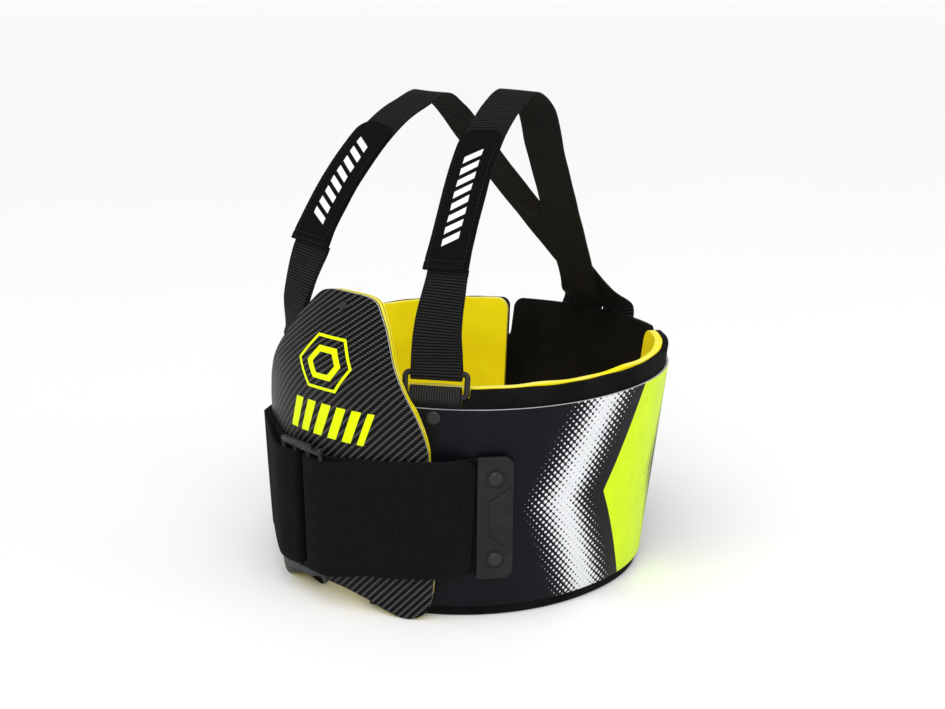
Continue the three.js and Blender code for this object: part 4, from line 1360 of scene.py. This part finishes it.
def scatter(name, shape, finish, places):  # places: (point, axis, aim, share)
    mesh = bpy.data.meshes.new(name)
    mesh.from_pydata([tuple(np.asarray(p) + (0, 0, hang)) for p, *_ in places], [], [])
    for label, index in (("axis", 1), ("aim", 2)):
        made = mesh.attributes.new(label, "FLOAT_VECTOR", "POINT")
        made.data.foreach_set("vector", np.array([row[index] for row in places], np.float32).ravel())
    share = mesh.attributes.new("share", "FLOAT", "POINT")
    share.data.foreach_set("value", np.array([row[3] for row in places], np.float32))
    piece = bpy.data.objects.new(name, mesh)
    scene.collection.objects.link(piece)
    made = piece.modifiers.new("setOut", "NODES")
    made.node_group = setOut
    names = {item.name: item.identifier for item in setOut.interface.items_tree if item.in_out == "INPUT"}
    made[names["Shape"]] = shape
    made[names["Finish"]] = finish
    return settle(piece)


def addRivets():
    places, nodes = [], []
    lift = layers["clearance"] / 2
    for side, name in sides:
        matrix = bracketFrame(side)
        for k, end in enumerate((-1, 1)):
            point = at(matrix, 0, end * (bracket["height"] / 2 - bracket["rivetInset"]),
                       bracketSeat + bracket["wall"] + lift)
            places.append((point, matrix[:3, 2], matrix[:3, 1], 1.0))
            nodes.append(f"bracket_rivet_{name}_{k + 1}")
        matrix = tabRivetFrame(side)
        places.append((at(matrix, 0, 0, lift), matrix[:3, 2], matrix[:3, 1], 1.0))
        nodes.append(f"tab_rivet_{name}")
    z = plate["top"] - plate["rivetDrop"]
    up = unit(onPlate(0, z + probe, plateFace) - onPlate(0, z - probe, plateFace))
    out = np.cross((1, 0, 0), up)
    places.append((onPlate(0, z, plateFace) + out * lift, out, up, rivet["plateShare"]))
    nodes.append("plate_rivet")
    shape = rivetShape()
    piece = scatter("rivets", shape, rivetPaint, places)
    bpy.data.objects.remove(shape)
    smoothFaces(piece)
    wear(piece, "rivet_metal", *nodes)


addRivets()
print("rivets set out")

# Strap rings: a rounded bar swept round a rectangle with round corners
lowerBar = bodyOval["shellHeight"] + ring["lift"] + ring["wire"] / 2
barSpacing = ring["height"] - ring["wire"]


def tabFrame(side):
    return bodyFrame(side * ring["angle"], lowerBar, ring["offset"])


def ringFrame(side):
    lean = np.eye(4)
    angle = -math.radians(ring["tilt"])
    lean[1:3, 1:3] = [[math.cos(angle), -math.sin(angle)], [math.sin(angle), math.cos(angle)]]
    return tabFrame(side) @ lean


def addRing(side, name):
    r = ring
    halfX = (r["innerWidth"] + r["wire"]) / 2 - r["corner"]
    halfY = barSpacing / 2 - r["corner"]
    path = []
    for cx, cy, first in ((1, 1, 0), (-1, 1, 90), (-1, -1, 180), (1, -1, 270)):
        for t in np.radians(np.linspace(first, first + 90, 8)):
            path.append((cx * halfX + r["corner"] * math.cos(t), cy * halfY + r["corner"] * math.sin(t), 0))
    path = np.array(path)
    ahead = unit(np.roll(path, -1, 0) - np.roll(path, 1, 0))
    out = np.stack([ahead[:, 1], -ahead[:, 0], 0 * ahead[:, 0]], -1)
    turns = np.linspace(0, 2 * math.pi, 16, endpoint=False)
    bowed = [np.sign(f(turns)) * np.abs(f(turns)) ** r["squareness"] for f in (np.cos, np.sin)]
    sections = path[:, None] + out[:, None] * (bowed[0] * r["wire"] / 2)[None, :, None]
    sections[..., 2] += bowed[1] * r["wall"] / 2
    faces = ringFaces(*sections.shape[:2], closed=True)
    piece = newPiece(f"strapRing_{name}", sections.reshape(-1, 3), faces, [mouldedPlastic], lift=0)
    piece.data.transform(Matrix.Translation((0, barSpacing / 2, 0)))
    wear(placeMesh(piece, ringFrame(side)), "moulded_plastic", f"strap_ring_{name}")


# Bands of webbing along a line of points, with a hint for their width at each
def bandFrames(points, hints):
    along = unit(np.gradient(points, axis=0))
    across = unit(hints - along * np.sum(hints * along, -1, keepdims=True))
    return across, np.cross(across, along)


def band(name, points, hints, width, wall, material, bevel, columns, ripple=()):
    across, out = bandFrames(points, hints)
    travelled = lengthAlong(points)
    shares = np.linspace(-0.5, 0.5, columns)
    middle = points[:, None] + across[:, None] * (shares * width)[None, :, None]
    if ripple:
        bow = wave(travelled, ripple)[:, None] * (1 - 6 * shares * shares)[None, :]
        middle = middle + out[:, None] * bow[..., None]
    side, rise = (shares * width)[None, :] + 0 * travelled[:, None], travelled[:, None] + 0 * shares
    uvs = np.stack([side, rise], -1)
    half = out[:, None] * wall / 2
    return slab(name, middle - half, middle + half, uvs, [material], bevel, 2)


def roundBar(matrix, radius, rim, turn, face):  # from one face of a ring to the other, round its bar
    return [at(matrix, 0, rim + turn * radius * math.sin(a), face * radius * math.cos(a))
            for a in np.linspace(0, math.pi, 11)]


def addTab(side, name):  # up inside the shell, over its edge, round the ring's bar and back
    matrix, upright = ringFrame(side), tabFrame(side)
    radius = ring["wall"] / 2 + layers["clearance"] + tab["wall"] / 2
    half = ring["wire"] / 2
    edge = -half - ring["lift"]
    inPocket = tabPlace - ring["offset"]
    backLay = inPocket + 0.4 * radius - tab["wall"] - layers["clearance"]
    points = [
        at(upright, 0, edge - tab["depth"], inPocket),
        at(upright, 0, edge - tab["depth"] / 2, inPocket),
        at(upright, 0, edge + tab["edgeGap"], inPocket),
        at(upright, 0, edge + 0.4 * ring["lift"], inPocket + 0.35 * radius),
        at(matrix, 0, -half - tab["wall"], radius),
        *roundBar(matrix, radius, half + tab["loop"], 1, 1),
        at(matrix, 0, -half - tab["wall"] / 2, -radius),
        at(upright, 0, edge + 0.5 * ring["lift"], backLay),
    ]
    points = smoothLine(points, 4)
    hints = np.repeat(matrix[None, :3, 0], len(points), 0)
    piece = band(f"ringTab_{name}", points, hints, tab["width"], tab["wall"], tabWebbing, tab["bevel"],
                 tab["columns"])
    wear(piece, "webbing", f"ring_tab_{name}")


# Shoulder straps: doubled near the ring, up the front, over the shoulder, crossed behind
strap = {
    "width": 40 * mm,
    "wall": 2 * mm,
    "pressed": 0.95,
    "bevel": 0.45 * mm,
    "columns": 11,
    "shoulderHeight": 390 * mm,
    "spread": 119 * mm,
    "back": -12 * mm,
    "backStart": (57.5 * mm, 8 * mm),
    "backDown": 12 * mm,
    "crossHeight": 220 * mm,
    "crossBack": 129.5 * mm,
    "crossSlack": 2 * mm,
    "footLength": 56 * mm,
    "footGap": 3 * mm,
    "overEdge": 4 * mm,
    "underEdge": 6 * mm,
    "doubledShare": 0.38,
    "doubledFrom": 6,
    "closing": 18,
    "perStep": 12,
    "ripple": [(0.30 * mm, 37 * mm, 0.5), (0.18 * mm, 61 * mm, 2.1)],
}
strapFront = [
    {"up": 0.14, "inward": 0.12, "back": 0.03},
    {"up": 0.34, "inward": 0.25, "back": 0.145},
    {"up": 0.54, "inward": 0.41, "back": 0.3},
    {"up": 0.74, "inward": 0.64, "back": 0.49},
    {"up": 0.87, "inward": 0.78, "back": 0.655},
    {"up": 0.95, "inward": 0.92, "back": 0.82},
]


def strapLine(level):  # on the wearer's left; level 1 passes outside where the straps cross
    s = strap
    matrix = ringFrame(1)
    around = matrix[:3, 0]
    radius = ring["wall"] / 2 + layers["clearance"] + s["wall"] / 2
    first = at(matrix, 0, barSpacing + ring["wire"] / 2, radius)
    top = np.array([s["spread"] / 2, s["back"], s["shoulderHeight"] + s["wall"] / 2])
    rising = [lerp(first, top, np.array([r["inward"], r["back"], r["up"]])) for r in strapFront]

    # behind, down to the cross and on to the foot on the back panel
    cross = np.array([0, s["crossBack"], s["crossHeight"]])
    start = np.array([*s["backStart"], top[2] - s["backDown"]])
    face = foamFace + layers["clearance"] + s["wall"] / 2
    footX = s["width"] / 2 + s["footGap"] / 2
    panelTop = bodyOval["shellHeight"] + sideFoam["rise"]
    footAngle = lambda z: 180 + float(angleOf(footX, z, face))
    foot = lambda z, clear=0.0: onBody(footAngle(z), z, face + clear)
    out = -unit(np.cross((1, 0, 0), cross - start))
    out = out if out[1] > 0 else -out
    lift = level * (s["wall"] + layers["clearance"]) / 2
    beyond = lambda share: start + (cross - start) * share + out * lift * min(1, share * 3)
    slack = s["crossSlack"] if level > 0 else 0
    above = panelTop + s["overEdge"]
    meet = (cross[2] - above) / (start[2] - cross[2])
    key = [first, *rising, top, *(beyond(k / 4) for k in range(5)), beyond(1 + 0.6 * meet) + out * slack,
           lerp(beyond(1 + meet), foot(above, s["wall"] + slack), 0.6) + out * slack / 2,
           foot(panelTop - s["underEdge"], layers["clearance"] + slack),
           foot(panelTop - s["footLength"] / 2), foot(panelTop - s["footLength"])]
    samples = smoothLine(key, s["perStep"])

    # the width turns from the ring's to straight across, and from there to the back panel's
    step = np.arange(len(samples)) / s["perStep"]
    near = np.maximum(0, 1 - step / 2)
    late = np.clip((step - step[-1] + 5) / 2, 0, 1)
    footHint = unit(onBody(footAngle(panelTop) - 1, panelTop, face) - foot(panelTop))
    hints = lerp(np.array([1.0, 0, 0]), around, near[:, None])
    hints = unit(lerp(hints, footHint, late[:, None]))
    across, away = bandFrames(samples, hints)

    # the doubled layer behind the strap, closing on it upward
    front = s["perStep"] * (len(rising) + 1)
    low = lerp(first[2], top[2], s["doubledShare"])
    doubled = [k for k in range(front) if samples[k, 2] < low][s["doubledFrom"]:]
    behind = []
    for k in doubled:
        gap = lerp(2 * radius, s["wall"] + layers["clearance"], min(1, k / s["closing"]))
        behind.append(samples[k] + away[k] * (gap if away[k][1] > 0 else -gap))
    fold = roundBar(matrix, radius, barSpacing - ring["wire"] / 2, -1, -1)
    backSide = at(matrix, 0, barSpacing + ring["wire"] / 2, -radius)
    return {
        "points": np.array([*behind[::-1], backSide, *fold, *samples]),
        "hints": np.array([*(hints[k] for k in doubled[::-1]), around, *[around] * len(fold), *hints]),
        "front": samples[:front],
        "across": across[:front],
        "away": away[:front],
        "low": first[2],
        "high": top[2],
    }


# The right strap has slumped a little at the shoulder: towards the middle, back and down
slump = {"by": (11 * mm, 9 * mm, -9 * mm), "from": 220 * mm, "power": 2.4}


def slumped(points, side):  # the left strap's points, put on their side
    share = np.clip((points[:, 2] - slump["from"]) / (strap["shoulderHeight"] - slump["from"]), 0, 1)
    return points * (side, 1, 1) + (side < 0) * (share ** slump["power"])[:, None] * np.array(slump["by"])


def addStrap(side, name, run):
    piece = band(f"shoulderStrap_{name}", slumped(run["points"], side), run["hints"] * (side, 1, 1),
                 strap["width"], strap["wall"] * strap["pressed"], strapWebbing, strap["bevel"],
                 strap["columns"], strap["ripple"])
    wear(piece, "webbing", f"shoulder_strap_{name}")


# Labels: soft pads sewn on the straps, with pressed seams, a hem and a slightly flared lower end
label = {
    "width": 43 * mm,
    "wall": 3 * mm,
    "pressed": 0.72,
    "columns": 320,
    "rows": 45,
    "from": 0.36,
    "to": 0.86,
    "corner": 13 * mm,
    "flare": 0.07,
    "flareLength": 16 * mm,
    "seamWidth": 0.9 * mm,
    "seamDepth": 0.55 * mm,
    "seamInset": 3 * mm,
    "hem": 7 * mm,
    "crown": 0.75 * mm,
    "softEdge": 6 * mm,
    "ripple": [(0.2 * mm, 29 * mm, 1.0)],
    "bevel": 0.9 * mm,
    "stitch": 2.4 * mm,
    "stitchGap": 1.1 * mm,
    "stitchRise": 0.75,
    "threadRadius": 0.32 * mm,
}


def stitchShape():  # one stitch: a short rounded thread
    radius, half, count = label["threadRadius"], label["stitch"] / 2, 6
    rings = [(-half, 0.25), (-half * 0.8, 0.8), (0, 1), (half * 0.8, 0.8), (half, 0.25)]
    verts = [(x, y, z) for x, share in rings for y, z in circle((0, 0), radius * share, count)]
    faces = [tuple(range(count))[::-1], tuple(range(len(verts) - count, len(verts)))]
    return newPiece("stitchShape", verts, faces + ringFaces(len(rings), count), [thread], lift=0)


def stitchesAlong(line, normals):  # evenly spaced places along a line
    travelled = lengthAlong(line)
    step = label["stitch"] + label["stitchGap"]
    places = []
    for distance in np.arange(step / 2, travelled[-1], step):
        point = resample(distance, travelled, line)
        ahead = resample(distance + mm, travelled, line) - point
        normal = unit(resample(distance, travelled, normals))
        places.append((point, normal, unit(ahead + 1e-9), 1.0))
    return places


def addLabel(side, name, run):  # returns the places of its stitches
    s = label
    flip = np.array([side, 1, 1])
    low, high = (lerp(run["low"], run["high"], s[key]) for key in ("from", "to"))
    count = len(run["front"])
    dense = np.linspace(0, count - 1, s["columns"])
    line, wide, out = (resample(dense, np.arange(count), run[key]) for key in ("front", "across", "away"))
    kept = (line[:, 2] > low) & (line[:, 2] < high)
    line, wide, out = line[kept], unit(wide[kept]), unit(out[kept])
    outward = out * np.where(out[:, 1:2] > 0, -1, 1)
    line = slumped(line, side) * flip
    travelled = lengthAlong(line)
    length = travelled[-1]
    shares = np.sin(np.linspace(-1, 1, s["rows"]) * math.pi / 2) / 2
    fromSide = ((0.5 - np.abs(shares)) * s["width"])[None, :]
    fromTop = (length - travelled)[:, None]
    distance = travelled[:, None] * (1 - roundOff(fromSide, s["corner"]) / length)
    base, wideAt, outAt = (resample(distance, travelled, values) for values in (line, wide, outward))
    flare = 1 + s["flare"] * np.exp(-((distance / s["flareLength"]) ** 2))
    middle = base + wideAt * (flare * shares * s["width"])[..., None]
    edge = np.minimum(1, fromSide / s["softEdge"])
    ends = np.minimum(1, np.minimum(travelled, length - travelled)[:, None] / s["softEdge"])
    crown = s["crown"] * (edge * ends) ** 0.5 + wave(travelled, s["ripple"])[:, None] * edge
    for off in (np.minimum(fromSide, fromTop) - s["seamInset"], distance - s["hem"]):
        crown = crown - s["seamDepth"] * np.exp(-((off / s["seamWidth"]) ** 2))
    seat = strap["wall"] / 2 + layers["clearance"]
    skin = seat + s["wall"] * s["pressed"]
    inner, outer = middle + outAt * seat, middle + outAt * (skin + crown)[..., None]
    uvs = np.stack([(shares * s["width"])[None, :] + 0 * distance, distance], -1)
    piece = slab(f"strapLabel_{name}", inner * flip, outer * flip, uvs, [labelCloth], s["bevel"])
    wear(piece, "label_cloth", f"strap_label_{name}")
    lift = skin + s["crown"] * s["stitchRise"]
    half = 0.5 - s["seamInset"] / s["width"]
    inside = (travelled > s["seamInset"]) & (travelled < length - s["corner"])
    places = []
    for share in (-half, half):
        seam = (line + wide * share * s["width"] + outward * lift)[inside]
        places += stitchesAlong(seam * flip, outward[inside] * flip)
    for height in (s["seamInset"] * 0.8, s["hem"]):
        k = int(np.searchsorted(travelled, height))
        seam = line[k] + wide[k] * (np.linspace(-half, half, 40) * s["width"])[:, None] + outward[k] * lift
        places += stitchesAlong(seam * flip, np.repeat(outward[k:k + 1], 40, 0) * flip)
    return places


places = []
for side, name in sides:
    addRing(side, name)
    addTab(side, name)
    run = strapLine(-side)
    addStrap(side, name, run)
    places += addLabel(side, name, run)
shape = stitchShape()
stitches = scatter("labelStitches", shape, thread, places)
bpy.data.objects.remove(shape)
wear(stitches, "label_cloth")
print("rings, tabs, straps, labels and", len(places), "stitches made")
